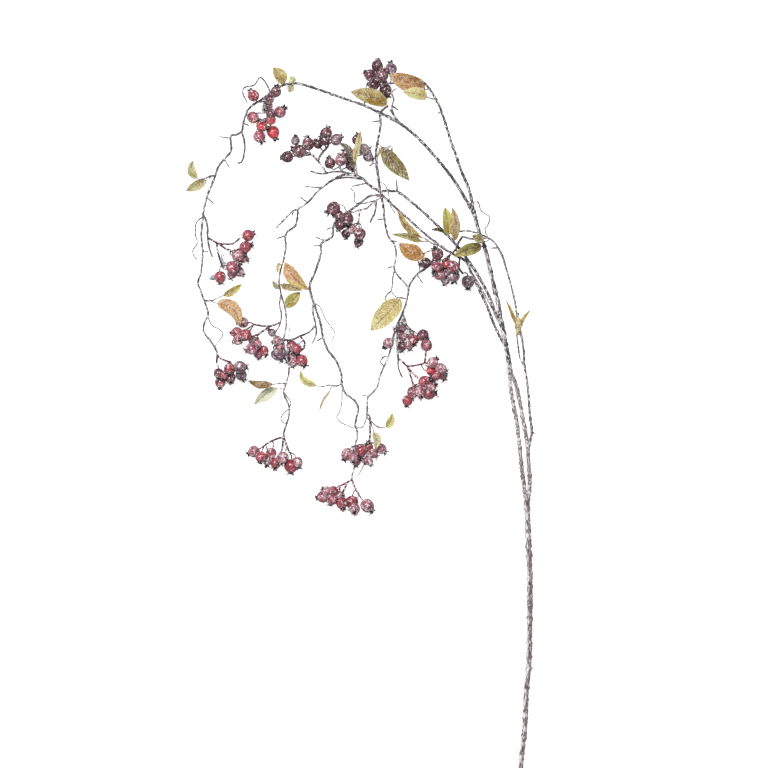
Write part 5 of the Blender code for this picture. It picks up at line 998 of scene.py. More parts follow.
def blank_material(name: str) -> tuple[bpy.types.Material, bpy.types.Node, NodeAdder]:
    """Make a material with an empty Principled shader.

    Args:
        name: the material's name.

    Returns:
        The material, its shader node, and add_node for its tree.
    """
    material = bpy.data.materials.new(name)
    material.use_nodes = True
    tree = material.node_tree
    return material, tree.nodes["Principled BSDF"], partial(add_node, tree)


def shaded(node: NodeAdder, colour: object, pattern: bpy.types.NodeSocket, *span: float
           ) -> bpy.types.NodeSocket:
    """Darken and lighten a colour by a pattern.

    Args:
        node: add_node for the material's tree.
        colour: the colour, or the socket that gives it.
        pattern: the noise to follow.
        span: two values of the noise, and what the colour is multiplied by at each.

    Returns:
        The shaded colour.
    """
    shade = node("MapRange", (pattern, *span))
    return node("Mix", {FACTOR: 1.0, COLOUR_A: colour, COLOUR_B: shade}, COLOUR_OUT,
                data_type="RGBA", blend_type="MULTIPLY")


def frosted(node: NodeAdder, body: bpy.types.NodeSocket, frost: str,
            grains: bpy.types.NodeSocket, limits: tuple[float, float], fade: float,
            most: float = 1.0) -> tuple[bpy.types.NodeSocket, bpy.types.NodeSocket]:
    """Cover a colour with frost where a noise is over a limit.

    The limit moves with the frost attribute, which is the share of white grains.

    Args:
        node: add_node for the material's tree.
        body: colour under the frost.
        frost: sRGB hex colour of the frost.
        grains: the noise.
        limits: the limit without frost, and where everything is frost.
        fade: how far over the limit the cover is at its most.
        most: greatest cover.

    Returns:
        The frosted colour, and the cover.
    """
    share = node("Attribute", out="Fac", attribute_name="frost")
    start = node("MapRange", (share, 0.0, 1.0, *limits))
    end = node("Math", (start, fade))
    cover = node("MapRange", (grains, start, end, 0.0, most), interpolation_type="SMOOTHSTEP")
    return node("Mix", {FACTOR: cover, COLOUR_A: body, COLOUR_B: rgba(frost)}, COLOUR_OUT,
                data_type="RGBA"), cover


@dataclass(frozen=True)
class FrostedBark:
    """Rough grey-mauve bark, grown in ridges, with a crust of fine white grains.

    The colour attribute gives the bark's colour, and as its fourth value the share of
    coarse patches in the crust. Single grains are too fine to show on a whole sprig, so the
    crust is drawn in patches of several grains.

    Attributes:
        name: the material's name.
        grain, grit: size of a patch of frost on thick and on thin wood in millimetres.
        rind: size of the bark's own colour patches in millimetres.
        streak: length of a patch over its width, where the pattern runs along the surface's
            UV map. At zero it follows the object's own axes.
        frost: sRGB hex colour of the crust.
        roughness, crust_roughness: of bare bark, and of the crust, which glints a little.
        limits: the noise's limit for frost, without any and where it is full.
        relief: depth of the crust in metres.
    """

    name: str = "frosted_bark"
    grain: float = 2.0
    grit: float = 1.0
    rind: float = 1.6
    streak: float = 3.5
    frost: str = "#f4f0f2"
    roughness: float = 0.8
    crust_roughness: float = 0.45
    limits: tuple[float, float] = (0.64, 0.36)
    relief: float = 0.5 * MM

    def make(self) -> bpy.types.Material:
        """Build the node material."""
        material, shader, node = blank_material(self.name)
        if self.streak > 0:
            surface = node("UVMap", uv_map="surface")
            place = node("VectorMath", (surface, (1 / self.streak, 1.0, 1.0)),
                         operation="MULTIPLY")
            near = 1 / UV_PER_METRE
        else:
            place, near = node("TexCoord", out="Object"), 1.0
        patches, specks, rind = (
            node("TexNoise", {"Vector": place, "Scale": per_mm(size) * near, "Detail": detail,
                              "Roughness": ragged})
            for size, detail, ragged in (
                (self.grain, 3.0, 0.7), (self.grit, 1.0, 0.5), (self.rind, 3.0, 0.5)))
        own = node("Attribute", out="Color", attribute_name="colour")
        grains = node("Mix", {FACTOR: own.node.outputs["Alpha"], VALUE_A: specks,
                              VALUE_B: patches}, data_type="FLOAT")
        bark = shaded(node, own, rind, 0.3, 0.7, 0.25, 1.6)
        colour, crust = frosted(node, bark, self.frost, grains, self.limits, fade=0.04)
        feed(shader, {
            "Base Color": colour,
            "Roughness": node("MapRange", (crust, 0.0, 1.0, self.roughness,
                                           self.crust_roughness)),
            "Normal": node("Bump", {"Height": grains, "Strength": 0.7,
                                    "Distance": self.relief})})
        return material


@dataclass(frozen=True)
class HipSkin:
    """Smooth waxy rose hip skin with a fine pale bloom and scattered white grains.

    The wax gives it a soft wet shine, which the bloom and the grains break up. The colour
    attribute gives the skin's colour and, as its fourth value, its bloom.

    Attributes:
        name: the material's name.
        mottle: size of darker and lighter patches in millimetres.
        fine: size of a fleck of bloom in millimetres.
        grain: size of a patch of frost in millimetres.
        bloom: sRGB hex colour of the bloom.
        frost: sRGB hex colour of the grains.
        roughness, bloom_roughness, grain_roughness: of clean skin, of skin under bloom and of
            frost.
        limits: the noise's limit for frost, without any and where it is full.
        relief: height of the frost in metres.
        wax: share of the skin that the wax covers.
    """

    name: str = "rose_hip_skin"
    mottle: float = 5.0
    fine: float = 0.8
    grain: float = 3.2
    bloom: str = "#dfc0c7"
    frost: str = "#fdf8f8"
    roughness: float = 0.22
    bloom_roughness: float = 0.5
    grain_roughness: float = 0.6
    limits: tuple[float, float] = (0.66, 0.34)
    relief: float = 0.3 * MM
    wax: float = 0.5

    def make(self) -> bpy.types.Material:
        """Build the node material."""
        material, shader, node = blank_material(self.name)
        place = node("TexCoord", out="Object")
        patches, flecks, grains = (
            node("TexNoise", {"Vector": place, "Scale": per_mm(size), "Detail": detail,
                              "Roughness": ragged, "Distortion": twist})
            for size, detail, ragged, twist in (
                (self.mottle, 2.0, 0.5, 0.0), (self.fine, 2.0, 0.5, 0.0),
                (self.grain, 3.0, 0.75, 0.8)))
        own = node("Attribute", out="Color", attribute_name="colour")
        skin = shaded(node, own, patches, 0.35, 0.65, 0.55, 1.35)
        fleck = node("MapRange", (flecks, 0.42, 0.60, 0.1, 1.0),
                     interpolation_type="SMOOTHSTEP")
        cloud = node("MapRange", (patches, 0.38, 0.62, 0.35, 1.5))
        haze = node("Math", (fleck, own.node.outputs["Alpha"]), operation="MULTIPLY")
        haze = node("Math", (haze, cloud), operation="MULTIPLY", use_clamp=True)
        hazed = node("Mix", {FACTOR: haze, COLOUR_A: skin, COLOUR_B: rgba(self.bloom)},
                     COLOUR_OUT, data_type="RGBA")
        colour, crust = frosted(node, hazed, self.frost, grains, self.limits, fade=0.03)
        dull = node("MapRange", (haze, 0.0, 1.0, self.roughness, self.bloom_roughness))
        dull = node("Math", (dull, crust), operation="MAXIMUM")
        dull = node("Math", (dull, self.grain_roughness), operation="MINIMUM")
        feed(shader, {
            "Base Color": colour, "Roughness": dull,
            "Normal": node("Bump", {"Height": crust, "Strength": 0.5,
                                    "Distance": self.relief}),
            "IOR": 1.45, "Coat Weight": self.wax, "Coat Roughness": 0.12})
        return material


@dataclass(frozen=True)
class DryLeaf:
    """Thin dry leaf: side veins, brown speckles, and frost in flecks along the veins.

    The UV map gives the place on the blade: the first value runs from the petiole to the
    tip, and the second across, with the midrib at 0.5. The colour and edge attributes are
    the colours at the midrib and at the edge, and their fourth values the blend between
    the two and the share of speckles.

    Attributes:
        name: the material's name.
        vein_gap: distance between side veins in millimetres.
        slant: how far a side vein runs forward over its way outwards.
        patch: size of a faded patch in millimetres.
        speckle: size of a brown speckle in millimetres.
        fleck: width and length of a fleck of frost in millimetres.
        brown: sRGB hex colour that veins and speckles multiply the blade's colour by.
        frost: sRGB hex colour of the grains.
        roughness: roughness of the papery blade.
        limits: the noise's limit for frost, without any and where it is full.
        relief: depth of the veins in metres.
    """

    name: str = "dry_leaf"
    vein_gap: float = 3.2
    slant: float = 1.3
    patch: float = 7.0
    speckle: float = 1.3
    fleck: tuple[float, float] = (0.7, 2.2)
    brown: str = "#b08468"
    frost: str = "#f4eed8"
    roughness: float = 0.6
    limits: tuple[float, float] = (0.66, 0.34)
    relief: float = 0.4 * MM

    def make(self) -> bpy.types.Material:
        """Build the node material. The ways along and across a blade are in millimetres."""
        material, shader, node = blank_material(self.name)
        blade = node("SeparateXYZ", (node("UVMap", uv_map="surface"),)).node.outputs
        unit_mm = 1 / (UV_PER_METRE * MM)
        along = node("Math", (blade[0], unit_mm), operation="MULTIPLY")
        sideways = node("Math", (blade[1], unit_mm, -0.5 * unit_mm), operation="MULTIPLY_ADD")
        across = node("Math", (sideways,), operation="ABSOLUTE")
        order = node("Math", (across, -self.slant, along), operation="MULTIPLY_ADD")
        phase = node("Math", (order, self.vein_gap / 2), operation="PINGPONG")
        side_vein = node("MapRange", (phase, 0.1, 0.6, 0.6, 0.0),
                         interpolation_type="SMOOTHSTEP")
        midrib = node("MapRange", (across, 0.3, 1.1, 1.0, 0.0),
                      interpolation_type="SMOOTHSTEP")
        vein = node("Math", (side_vein, midrib), operation="MAXIMUM")
        place = node("TexCoord", out="Object")
        patches, dots = (
            node("TexNoise", {"Vector": place, "Scale": per_mm(size), "Detail": detail})
            for size, detail in ((self.patch, 2.0), (self.speckle, 1.0)))
        inner = node("Attribute", out="Color", attribute_name="colour")
        outer = node("Attribute", out="Color", attribute_name="edge")
        speckled = outer.node.outputs["Alpha"]
        drift = node("MapRange", (patches, 0.35, 0.65, -0.5, 0.5))
        blend = node("Math", (inner.node.outputs["Alpha"], drift), use_clamp=True)
        body = node("Mix", {FACTOR: blend, COLOUR_A: inner, COLOUR_B: outer}, COLOUR_OUT,
                    data_type="RGBA")
        reach = node("Math", (side_vein, 0.08, dots), operation="MULTIPLY_ADD")
        reach = node("Math", (speckled, 0.30, reach), operation="MULTIPLY_ADD")
        speckles = node("MapRange", (reach, 0.64, 0.72, 0.0, 0.75),
                        interpolation_type="SMOOTHSTEP")
        marks = node("Math", (vein, 0.85), operation="MULTIPLY")
        marks = node("Math", (marks, speckles), operation="MAXIMUM")
        marked = node("Mix", {FACTOR: marks, COLOUR_A: body, COLOUR_B: rgba(self.brown)},
                      COLOUR_OUT, data_type="RGBA", blend_type="MULTIPLY")
        fleck_place = node("CombineXYZ", (
            node("Math", (order, 1 / self.fleck[0]), operation="MULTIPLY"),
            node("Math", (sideways, 1 / self.fleck[1]), operation="MULTIPLY"), speckled))
        flecks = node("TexNoise", {"Vector": fleck_place, "Scale": 1.0, "Detail": 1.0})
        colour, _ = frosted(node, marked, self.frost, flecks, self.limits, 0.05, most=0.7)
        height = node("Math", (vein, -0.6, flecks), operation="MULTIPLY_ADD")
        feed(shader, {
            "Base Color": colour, "Roughness": self.roughness,
            "Normal": node("Bump", {"Height": height, "Strength": 0.7,
                                    "Distance": self.relief})})
        return material


@dataclass(frozen=True)
class FrostGrain:
    """Clear-white sugar-like crystals that catch the light.

    Attributes:
        name: the material's name.
        colour: sRGB hex colour.
        cloud: size of the slow change between grey and white grains in millimetres.
        roughness: low, so that facets glint.
    """

    name: str = "frost_grain"
    colour: str = "#f0eef1"
    cloud: float = 2.0
    roughness: float = 0.2

    def make(self) -> bpy.types.Material:
        """Build the node material."""
        material, shader, node = blank_material(self.name)
        cloud = node("TexNoise", {"Vector": node("TexCoord", out="Object"),
                                  "Scale": per_mm(self.cloud)})
        feed(shader, {"Base Color": shaded(node, rgba(self.colour), cloud, 0.3, 0.7, 0.45, 1.0),
                      "Roughness": self.roughness})
        return material


@dataclass
class BarkStrands:
    """The woody stem: rough tapering strands and short spurs, with grains stuck to them.

    Attributes:
        step: spacing of the rings in metres.
        relief: usual depth of the bark's relief over the radius.
        knot_gap, knot_width: usual distance between swollen knots, and half the length of a
            knot, in metres.
        knot: greatest height of a knot over the radius.
        joint: way over which a strand bends to its parent's axis, in metres.
        tendril, limb: greatest radius of a strand without knots, and least radius of one
            with the finest rings, in metres.
        end: length over which a strand's end narrows, in metres.
        spur, grain_sizes: radii of a spur at its root and tip, and the least and greatest
            radius of a grain, in millimetres.
        most_frost: greatest share of frost.
        side_highlight: painted highlight: how much lighter thick wood is towards +X, with less
            frost.
        paths: centre line and radii of each strand, filled by lay_out.
    """

    step: float = 0.9 * MM
    relief: float = 0.256
    knot_gap: float = 14 * MM
    knot: float = 0.30
    knot_width: float = 1.4 * MM
    joint: float = 6 * MM
    tendril: float = 0.75 * MM
    limb: float = 1.6 * MM
    end: float = 0.5 * MM
    spur: tuple[float, float] = (0.95, 0.7)
    grain_sizes: tuple[float, float] = (0.22, 0.5)
    most_frost: float = 0.8
    side_highlight: float = 0.5
    paths: dict[str, tuple[np.ndarray, np.ndarray]] = field(default_factory=dict)

    def lay_out(self) -> None:
        """Find each strand's centre line and radii, which grow by its look's swell.

        A strand's first point moves to its parent's axis, and the shift fades along it.
        """
        for name, parent, root, tip, route in STRANDS:
            path = smooth_route(route, self.step)
            if parent:
                carrier = self.paths[parent][0]
                gap = carrier[nearest(carrier, path[0])] - path[0]
                path = path + np.clip(1 - distances(path) / self.joint, 0, 1)[:, None] * gap
            along = distances(path) / distances(path)[-1]
            swell = self.look(name, root * MM).swell
            self.paths[name] = (path, (root + (tip - root) * along) * swell * MM)

    def look(self, name: str, radius: float) -> StrandLook:
        """Finish of a strand, from its name or else from its thickness."""
        plain = next(look for limit, look in PLAIN_LOOKS if radius <= limit * MM)
        return STRAND_LOOKS.get(name, plain)

    def strand(self, name: str, path: np.ndarray, radii: np.ndarray, seed: int,
               frosting: Frosting) -> Shell:
        """Build one strand.

        The radius is the taper times one plus softened random relief, plus a bell-shaped
        knot at random places. It narrows at the very end. The frost wanders along the
        strand. Thick wood is painted lighter towards +X with less frost there, a painted
        highlight, and has more white frost towards -X, partly frost and partly a painted
        highlight on that edge.

        Args:
            name: strand whose look it takes.
            path: centre line.
            radii: radius at each point.
            seed: start of the random numbers.
            frosting: takes the grains stuck to it.

        Returns:
            The closed shell.
        """
        rng = np.random.default_rng(seed)
        thick = float(radii.max())
        sides = 6 if thick <= self.tendril else 8 if thick < self.limb else 12
        along = distances(path)
        rings = len(path)
        relief = rough(rng, rings, sides, self.relief)
        if thick > self.tendril:
            knots = np.arange(rng.uniform(2, 8) * MM, along[-1], self.knot_gap)
            knots = knots + rng.uniform(-4, 4, len(knots)) * MM
            height = rng.uniform(0.2, 1, len(knots)) * self.knot
            relief = relief + (bell(along[:, None], knots, self.knot_width) @ height)[:, None]
        radii = radii * np.clip((along[-1] - along) / self.end + 0.55, 0, 1)
        points = tube(path, radii, relief)
        look = self.look(name, thick)
        share = look.frost
        spread = softened(rng.normal(0, 1, (rings, 3)), 12)[:, :1]
        frost = np.clip(share + 0.45 * spread, 0, self.most_frost)
        frost = np.append(np.repeat(frost, sides), [share, share])
        grains = int(along[-1] / MM * share * (1.1 + 900 * thick))
        frosting.dust(points[:-2], grains, 0.15 * MM, self.grain_sizes, rng)
        coarse = float(np.clip(thick / MM - 2.0, 0, 1))
        colour = paint(len(points), linear(look.tone.value), coarse)
        # Painted highlight: thick wood is lighter towards +X, and its extra white frost towards -X
        # is partly a painted edge highlight.
        lean = (points[:-2, 0] - np.repeat(path[:, 0], sides)) / np.repeat(radii, sides)
        lean = np.append(np.clip(lean, -1, 1), [0, 0]) * coarse
        colour[:, :3] *= 1 + self.side_highlight * lean[:, None]
        return Shell(points, ring_faces(rings, sides), colour,
                     frost=np.clip(frost - 0.3 * lean, 0, self.most_frost),
                     uv=wrapped(path, radii, sides, seed * 7 * MM))

    def shells(self, names: list[str], frosting: Frosting) -> list[Shell]:
        """Build the strands with the given names, and the spurs that grow on them."""
        made = [self.strand(name, *self.paths[name], STRAND_SEED + i, frosting)
                for i, (name, *_) in enumerate(STRANDS) if name in names]
        for i, (parent, start, end) in enumerate(SPURS):
            if parent in names:
                carrier = self.paths[parent][0]
                root = carrier[nearest(carrier, np.array(start) * MM)]
                path = smooth_route([tuple(root / MM), end], self.step)
                radii = np.linspace(*self.spur, len(path)) * MM
                made.append(self.strand(parent, path, radii, SPUR_SEED + i, frosting))
        return made


@dataclass(frozen=True)
class Hip:
    """Place and size of one hip.

    Attributes:
        x, y, z: its middle in millimetres.
        radius: half its width in millimetres.
        heading: direction that its crown faces, in degrees round from +X.
        rise: how far the crown is tilted up, in degrees.
    """

    x: float
    y: float
    z: float
    radius: float
    heading: float
    rise: float

    def axes(self) -> np.ndarray:
        """Rows of two side directions and the crown direction."""
        h, r = math.radians(self.heading), math.radians(self.rise)
        crown = np.array([math.cos(h) * math.cos(r), math.sin(h) * math.cos(r), math.sin(r)])
        side = unit(np.cross(crown, [0.03, 0.02, 1.0]))
        return np.stack([side, np.cross(crown, side), crown])

    def at(self, ahead: float) -> np.ndarray:
        """Point on its axis in metres, that many radii from its middle towards the crown."""
        return (np.array([self.x, self.y, self.z]) + ahead * self.radius * self.axes()[2]) * MM


@dataclass
class HipBunch:
    """A bunch of hips: forked peduncles, thin bowed stalks, round bodies and dry sepals.

    Lengths without a unit are over the hip's radius.

    Attributes:
        name: the bunch's name in the layout.
        bands, sides: rings from crown to stalk on a hip, and points round it.
        pole: angle of the first and last ring from the hip's axis, in radians.
        stretch: length of a hip over its width.
        droop: how much wider a hip is towards its stalk.
        lumps: waves round a hip, waves along it, and height, of each set of lumps.
        hollows: height, and angle and width in radians, of the hollow at the crown, the rim
            round it and the hollow at the stalk.
        sepal_rings: rings along a sepal.
        sepal_root, sepal_limit: where a sepal starts, and how far it reaches at most,
            outwards and ahead of the hip's middle.
        sepal_half, sepal_thick: half the width of a sepal at its root and tip, and half its
            thickness.
        lit_rise: tilt from which a hip's sepals get painted light, brown not nearly black, in
            degrees.
        tuft: place ahead and radius of each ring of the tuft.
        stalk: radii of a stalk at its root and tip in millimetres.
        stalk_aim: how far behind a hip's middle its stalk aims, and how far it ends.
        peduncle: radius of a peduncle in metres.
        grain_sizes: least and greatest radius of a grain in millimetres.
    """

    name: str
    bands: int = 15
    sides: int = 22
    pole: float = 0.10
    stretch: float = 1.06
    droop: float = 0.05
    lumps: tuple = ((2, 0, 0.025), (3, 2, 0.02), (5, -3, 0.015))
    hollows: tuple = ((-0.16, 0.0, 0.22), (0.05, 0.42, 0.12), (0.10, math.pi, 0.25))
    sepal_rings: int = 7
    sepal_root: tuple[float, float] = (0.26, 0.96)
    sepal_limit: tuple[float, float] = (0.75, 1.52)
    sepal_half: tuple[float, float] = (0.28, 0.04)
    sepal_thick: float = 0.06
    lit_rise: float = 40.0
    tuft: tuple = ((0.86, 0.30), (1.0, 0.34), (1.14, 0.28), (1.24, 0.12))
    stalk: tuple[float, float] = (0.75, 0.82)
    stalk_aim: tuple[float, float] = (1.7, 0.8)
    peduncle: float = 1.2 * MM
    grain_sizes: tuple[float, float] = (0.25, 0.55)
    colour: str = field(init=False)
    carrier: str = field(init=False)
    routes: list[Route] = field(init=False)
    hips: list[Hip] = field(init=False)
    rng: np.random.Generator = field(init=False)

    def __post_init__(self) -> None:
        """Find the bunch in the layout and seed its random numbers."""
        index = [bunch[0] for bunch in BUNCHES].index(self.name)
        self.rng = np.random.default_rng(BUNCH_SEED + index)
        _, self.colour, self.carrier, self.routes, rows = BUNCHES[index]
        self.hips = [Hip(*row) for row in rows]

    def body(self, hip: Hip, skin: SkinTone) -> Shell:
        """Build one hip.

        At polar angle p from the crown, the radius is sin p times one plus lumps, and the
        height cos p times the stretch, less a bell-shaped dimple at the crown and a small
        one at the stalk, plus a low rim round the crown. The rim is paler than the skin.

        Args:
            hip: its place and size.
            skin: its colours.

        Returns:
            The closed shell.
        """
        polar = np.linspace(self.pole, math.pi - self.pole, self.bands)[:, None]
        angle = (np.arange(self.sides) * 2 * math.pi / self.sides)[None, :]
        lumps = sum(height * np.sin(turns * angle + waves * polar + phase)
                    for (turns, waves, height), phase
                    in zip(self.lumps, self.rng.uniform(0, 2 * math.pi, 3))) * np.sin(polar)
        wide = np.sin(polar) * (1 + lumps) * (1 - self.droop * np.cos(polar))
        high = self.stretch * np.cos(polar) + 0 * angle + sum(
            height * bell(polar, middle, width) for height, middle, width in self.hollows)
        local = np.stack([wide * np.cos(angle), wide * np.sin(angle), high], -1)
        local = np.vstack([local.reshape(-1, 3), [(0, 0, high[0, 0])], [(0, 0, high[-1, 0])]])
        points = hip.at(0) + hip.radius * MM * local @ hip.axes()
        tint = linear(skin.colour) * self.rng.uniform(0.85, 1.15)
        colour = paint(len(points), tint, skin.bloom)
        rim = 0.55 * bell(polar[:, 0], 0.36, 0.16)
        rim = np.append(np.repeat(rim, self.sides), [0.0, 0.0])[:, None]
        colour[:, :3] = colour[:, :3] * (1 - rim) + rim * linear(RIM_COLOUR)
        return Shell(points, turned(ring_faces(self.bands, self.sides)), colour,
                     frost=np.full(len(points), skin.frost))

    def sepal(self, hip: Hip, number: int) -> Shell:
        """Build one of the five dry sepals round a hip's crown.

        A sepal starts on the rim and runs outwards and forwards. Its direction turns from
        straight ahead towards the side by a curl that grows along it, its width falls
        with the cube of the place along it, and it is a flat lens across.

        Args:
            hip: the hip that carries it.
            number: which of the five.

        Returns:
            The closed shell.
        """
        radius, axes = hip.radius * MM, hip.axes()
        t = np.linspace(0, 1, self.sepal_rings)
        turn = 2 * math.pi * (number + self.rng.uniform(-0.2, 0.2)) / SEPALS
        lean = 0.45 + self.rng.uniform(0.5, 1.7) * t**1.3
        length = self.rng.uniform(0.50, 0.72) * radius
        steps = np.stack([np.sin(lean), np.cos(lean)], -1) * length / (len(t) - 1)
        route = np.vstack([[0, 0], np.cumsum(steps[:-1], axis=0)])
        out, ahead = np.minimum(np.array(self.sepal_root) * radius + route,
                                np.array(self.sepal_limit) * radius).T
        spoke = np.array([math.cos(turn), math.sin(turn), 0])
        path = hip.at(0) + (out[:, None] * spoke + ahead[:, None] * [0, 0, 1]) @ axes
        across = np.array([-math.sin(turn), math.cos(turn), 0]) @ axes
        root, tip = self.sepal_half
        half = (((root - tip) * (1 - t**3) + tip) * radius)[:, None]
        lens = unit(np.cross(across, np.gradient(path, axis=0))) * self.sepal_thick * radius
        ring = np.stack([path - across * half, path - lens, path + across * half, path + lens],
                        1)
        points = np.vstack([ring.reshape(-1, 3), path[:1], path[-1:]])
        # Painted light: sepals on a crown that tilts up take the lighter SEPAL_LIT colour.
        colour = SEPAL_LIT if hip.rise >= self.lit_rise else SEPAL_COLOUR
        return Shell(points, turned(ring_faces(len(t), 4)),
                     paint(len(points), linear(colour) * self.rng.uniform(0.7, 2.0)),
                     frost=np.append(np.repeat(0.05 + 0.35 * t, 4), [0.05, 0.4]), finish=1)

    def crown(self, hip: Hip) -> list[Shell]:
        """Build a hip's sepals, and the dark tuft between them."""
        made = [self.sepal(hip, number) for number in range(SEPALS)]
        ahead, radii = np.array(self.tuft).T * hip.radius * MM
        relief = self.rng.uniform(-0.35, 0.35, (len(radii), 8))
        path = hip.at(0) + ahead[:, None] * hip.axes()[2]
        return made + [tube_shell(path, radii, relief, linear(TUFT_COLOUR), 0.12, 1)]

    def stalks(self, strands: BarkStrands) -> list[Shell]:
        """Build the peduncles and one bowed stalk for each hip.

        A stalk is a quadratic curve from the nearest peduncle point into the hip, which
        aims at a point behind its middle.

        Args:
            strands: the bark that carries the bunch.

        Returns:
            Closed shells.
        """
        paths = [smooth_route(route, MM) for route in self.routes]
        bark = strands.paths[self.carrier][0]
        paths[0] = np.vstack([bark[nearest(bark, paths[0][0])], paths[0]])
        tubes = [(path, np.full(len(path), self.peduncle)) for path in paths]
        starts = np.vstack([path[4:] for path in paths])
        t = np.linspace(0, 1, 14)[:, None]
        for hip in self.hips:
            aim, end = (hip.at(-behind) for behind in self.stalk_aim)
            start = starts[nearest(starts, aim)]
            path = (1 - t) ** 2 * start + 2 * t * (1 - t) * aim + t**2 * end
            tubes.append((path, np.linspace(*self.stalk, len(path)) * MM))
        look = BUNCH_STALKS[self.name]
        return [tube_shell(path, radii, rough(self.rng, len(path), 6, 0.12),
                           linear(look.tone.value), look.frost, 2) for path, radii in tubes]

    def build(self, strands: BarkStrands, finishes: list[bpy.types.Material]
              ) -> bpy.types.Object:
        """Build the bunch as one piece that takes the place of its solid.

        Args:
            strands: the bark that carries it.
            finishes: skin, sepal, stalk and grain materials.

        Returns:
            The piece.
        """
        shells = self.stalks(strands) + growths(self.name, 2)
        frosting = Frosting(BUNCH_FROST_SEED + int(self.name[-2:]))
        for hip, letter in zip(self.hips, HIP_SKINS[self.name]):
            skin = SKINS[letter]
            body = self.body(hip, skin)
            shells += [body, *self.crown(hip)]
            frosting.dust(body.points, int(20 + 90 * skin.frost), 0.1 * MM,
                          self.grain_sizes, self.rng)
        frosting.heap(self.name)
        piece = build_piece(self.name + "_fruit", shells + [frosting.shell(3)], finishes)
        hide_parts(self.name)
        return piece


@dataclass
class LeafBlade:
    """A cupped dry leaf with a toothed, rippled edge on a short petiole.

    Attributes:
        name: the leaf's name in the layout.
        rows, columns: rows from petiole to tip, and points across, an odd number.
        thickness: of the blade, in metres.
        cup: how far each half rises from the midrib, in radians.
        tooth, tooth_gap: depth of the edge's teeth over the half width, and the distance
            between them in metres.
        ripple, waves: height of the edge's waves in metres, and for each set of waves its
            share of the height and its half waves along the blade.
        groove: depth of the groove along the midrib in metres.
        vein_gap: distance between side veins in metres.
        vein_slant: how far a side vein runs forward over its way outwards.
        vein_height: height of the blade between side veins in metres.
        small_width: width in millimetres under which the relief gets lower.
        petiole: radius at the foot, at the blade and at the tip in metres.
        grain_sizes: least and greatest radius of a grain in millimetres.
    """

    name: str
    rows: int = 44
    columns: int = 17
    thickness: float = 0.45 * MM
    cup: float = math.radians(22)
    tooth: float = 0.10
    tooth_gap: float = 2.4 * MM
    ripple: float = 0.45 * MM
    waves: tuple = ((0.6, 5.0), (0.4, 9.0))
    groove: float = 0.25 * MM
    vein_gap: float = 3.2 * MM
    vein_slant: float = 1.3
    vein_height: float = 0.2 * MM
    small_width: float = 12.0
    petiole: tuple[float, float, float] = (0.75 * MM, 0.6 * MM, 0.12 * MM)
    grain_sizes: tuple[float, float] = (0.16, 0.36)
    rng: np.random.Generator = field(init=False)

    def surface(self, line: np.ndarray, length: float, width: float, roll: float
                ) -> tuple[np.ndarray, np.ndarray, np.ndarray]:
        """Middle surface of the blade, row by row.

        Half the width is the widest times a power, the taper, of the sine of pi times the
        power 0.8 of the place along the blade, less fine teeth. Across, each half rises by the
        cup, which fades to the tip, and the edge waves up and down.

        Args:
            line: midrib of the blade, a point for each row.
            length: its length in metres.
            width: greatest width in millimetres.
            roll: turn about the midrib in degrees.

        Returns:
            Points, the upper side's directions, and half the width of each row.
        """
        t = np.linspace(0, 1, self.rows)[:, None]
        c = np.linspace(-1, 1, self.columns)[None, :]
        tangent, side, up = side_frames(line, level=True)
        tilt = math.radians(roll)
        side, up = (side * math.cos(tilt) + np.cross(tangent, side) * math.sin(tilt),
                    up * math.cos(tilt) + np.cross(tangent, up) * math.sin(tilt))
        teeth = 1 - self.tooth * ((t * max(5.0, length / self.tooth_gap)) % 1.0)
        outline = np.clip(np.sin(math.pi * t**0.8), 0, 1) ** LEAF_TONES[self.name].taper
        half = np.maximum(0.5 * width * MM * outline * teeth, self.groove)
        lift = self.cup * (1 - t**3) * np.abs(c) ** 0.6
        waves = sum(share * np.sin(count * math.pi * t + phase + 1.5 * np.sign(c))
                    for (share, count), phase in zip(self.waves, self.rng.uniform(0, 6, 2)))
        order = length * t - self.vein_slant * half * np.abs(c)
        ribs = np.abs(((order / self.vein_gap) % 1.0) - 0.5) * 2
        low = min(1.0, width / self.small_width)
        height = (half * np.abs(c) * np.sin(lift) + self.ripple * low * waves * c**2 * outline
                  + self.vein_height * low * (ribs - 0.5) * np.abs(c) ** 0.3 * outline
                  - self.groove * low * bell(c, 0, 0.10))
        middle = (line[:, None] + side[:, None] * (half * c * np.cos(lift))[..., None]
                  + up[:, None] * height[..., None])
        normal = unit(np.cross(np.gradient(middle, axis=1), np.gradient(middle, axis=0)))
        return middle, normal, half

    def blade(self, line: np.ndarray, length: float, middle: np.ndarray, normal: np.ndarray,
              half: np.ndarray) -> Shell:
        """Close the blade: two faces half the thickness from the middle, meeting at the edge.

        Args:
            line: midrib of the blade, a point for each row.
            length: its length in metres.
            middle: points of the middle surface.
            normal: the upper side's directions.
            half: half the width of each row.

        Returns:
            The closed shell.
        """
        tone = LEAF_TONES[self.name]
        c = np.linspace(-1, 1, self.columns)
        body = normal * ((self.thickness / 2) * (1 - 0.7 * c**4))[:, None]
        loop = np.concatenate([middle + body, (middle - body)[:, ::-1]], axis=1)
        points = np.vstack([loop.reshape(-1, 3), line[:1], line[-1:]])
        size = 2 * self.columns
        t = np.linspace(0, 1, self.rows)
        across = np.concatenate([c, c[::-1]])
        uv = np.stack([np.repeat(length * t, size), (half * across).ravel()], -1)
        uv = np.vstack([uv, [(0, 0), (length, 0)]]) * UV_PER_METRE + [0, 0.5]
        edge = np.append(np.tile(np.abs(across), self.rows), [0, 0])
        inner = paint(len(points), linear(tone.base))
        inner[:, 3] = np.clip(0.75 * np.append(np.repeat(t, size), [0, 1]) ** 1.3
                              + 0.5 * edge**2, 0, 1)
        return Shell(points, ring_faces(self.rows, size), inner,
                     paint(len(points), linear(tone.tip), tone.speckle),
                     np.full(len(points), tone.frost), uv)

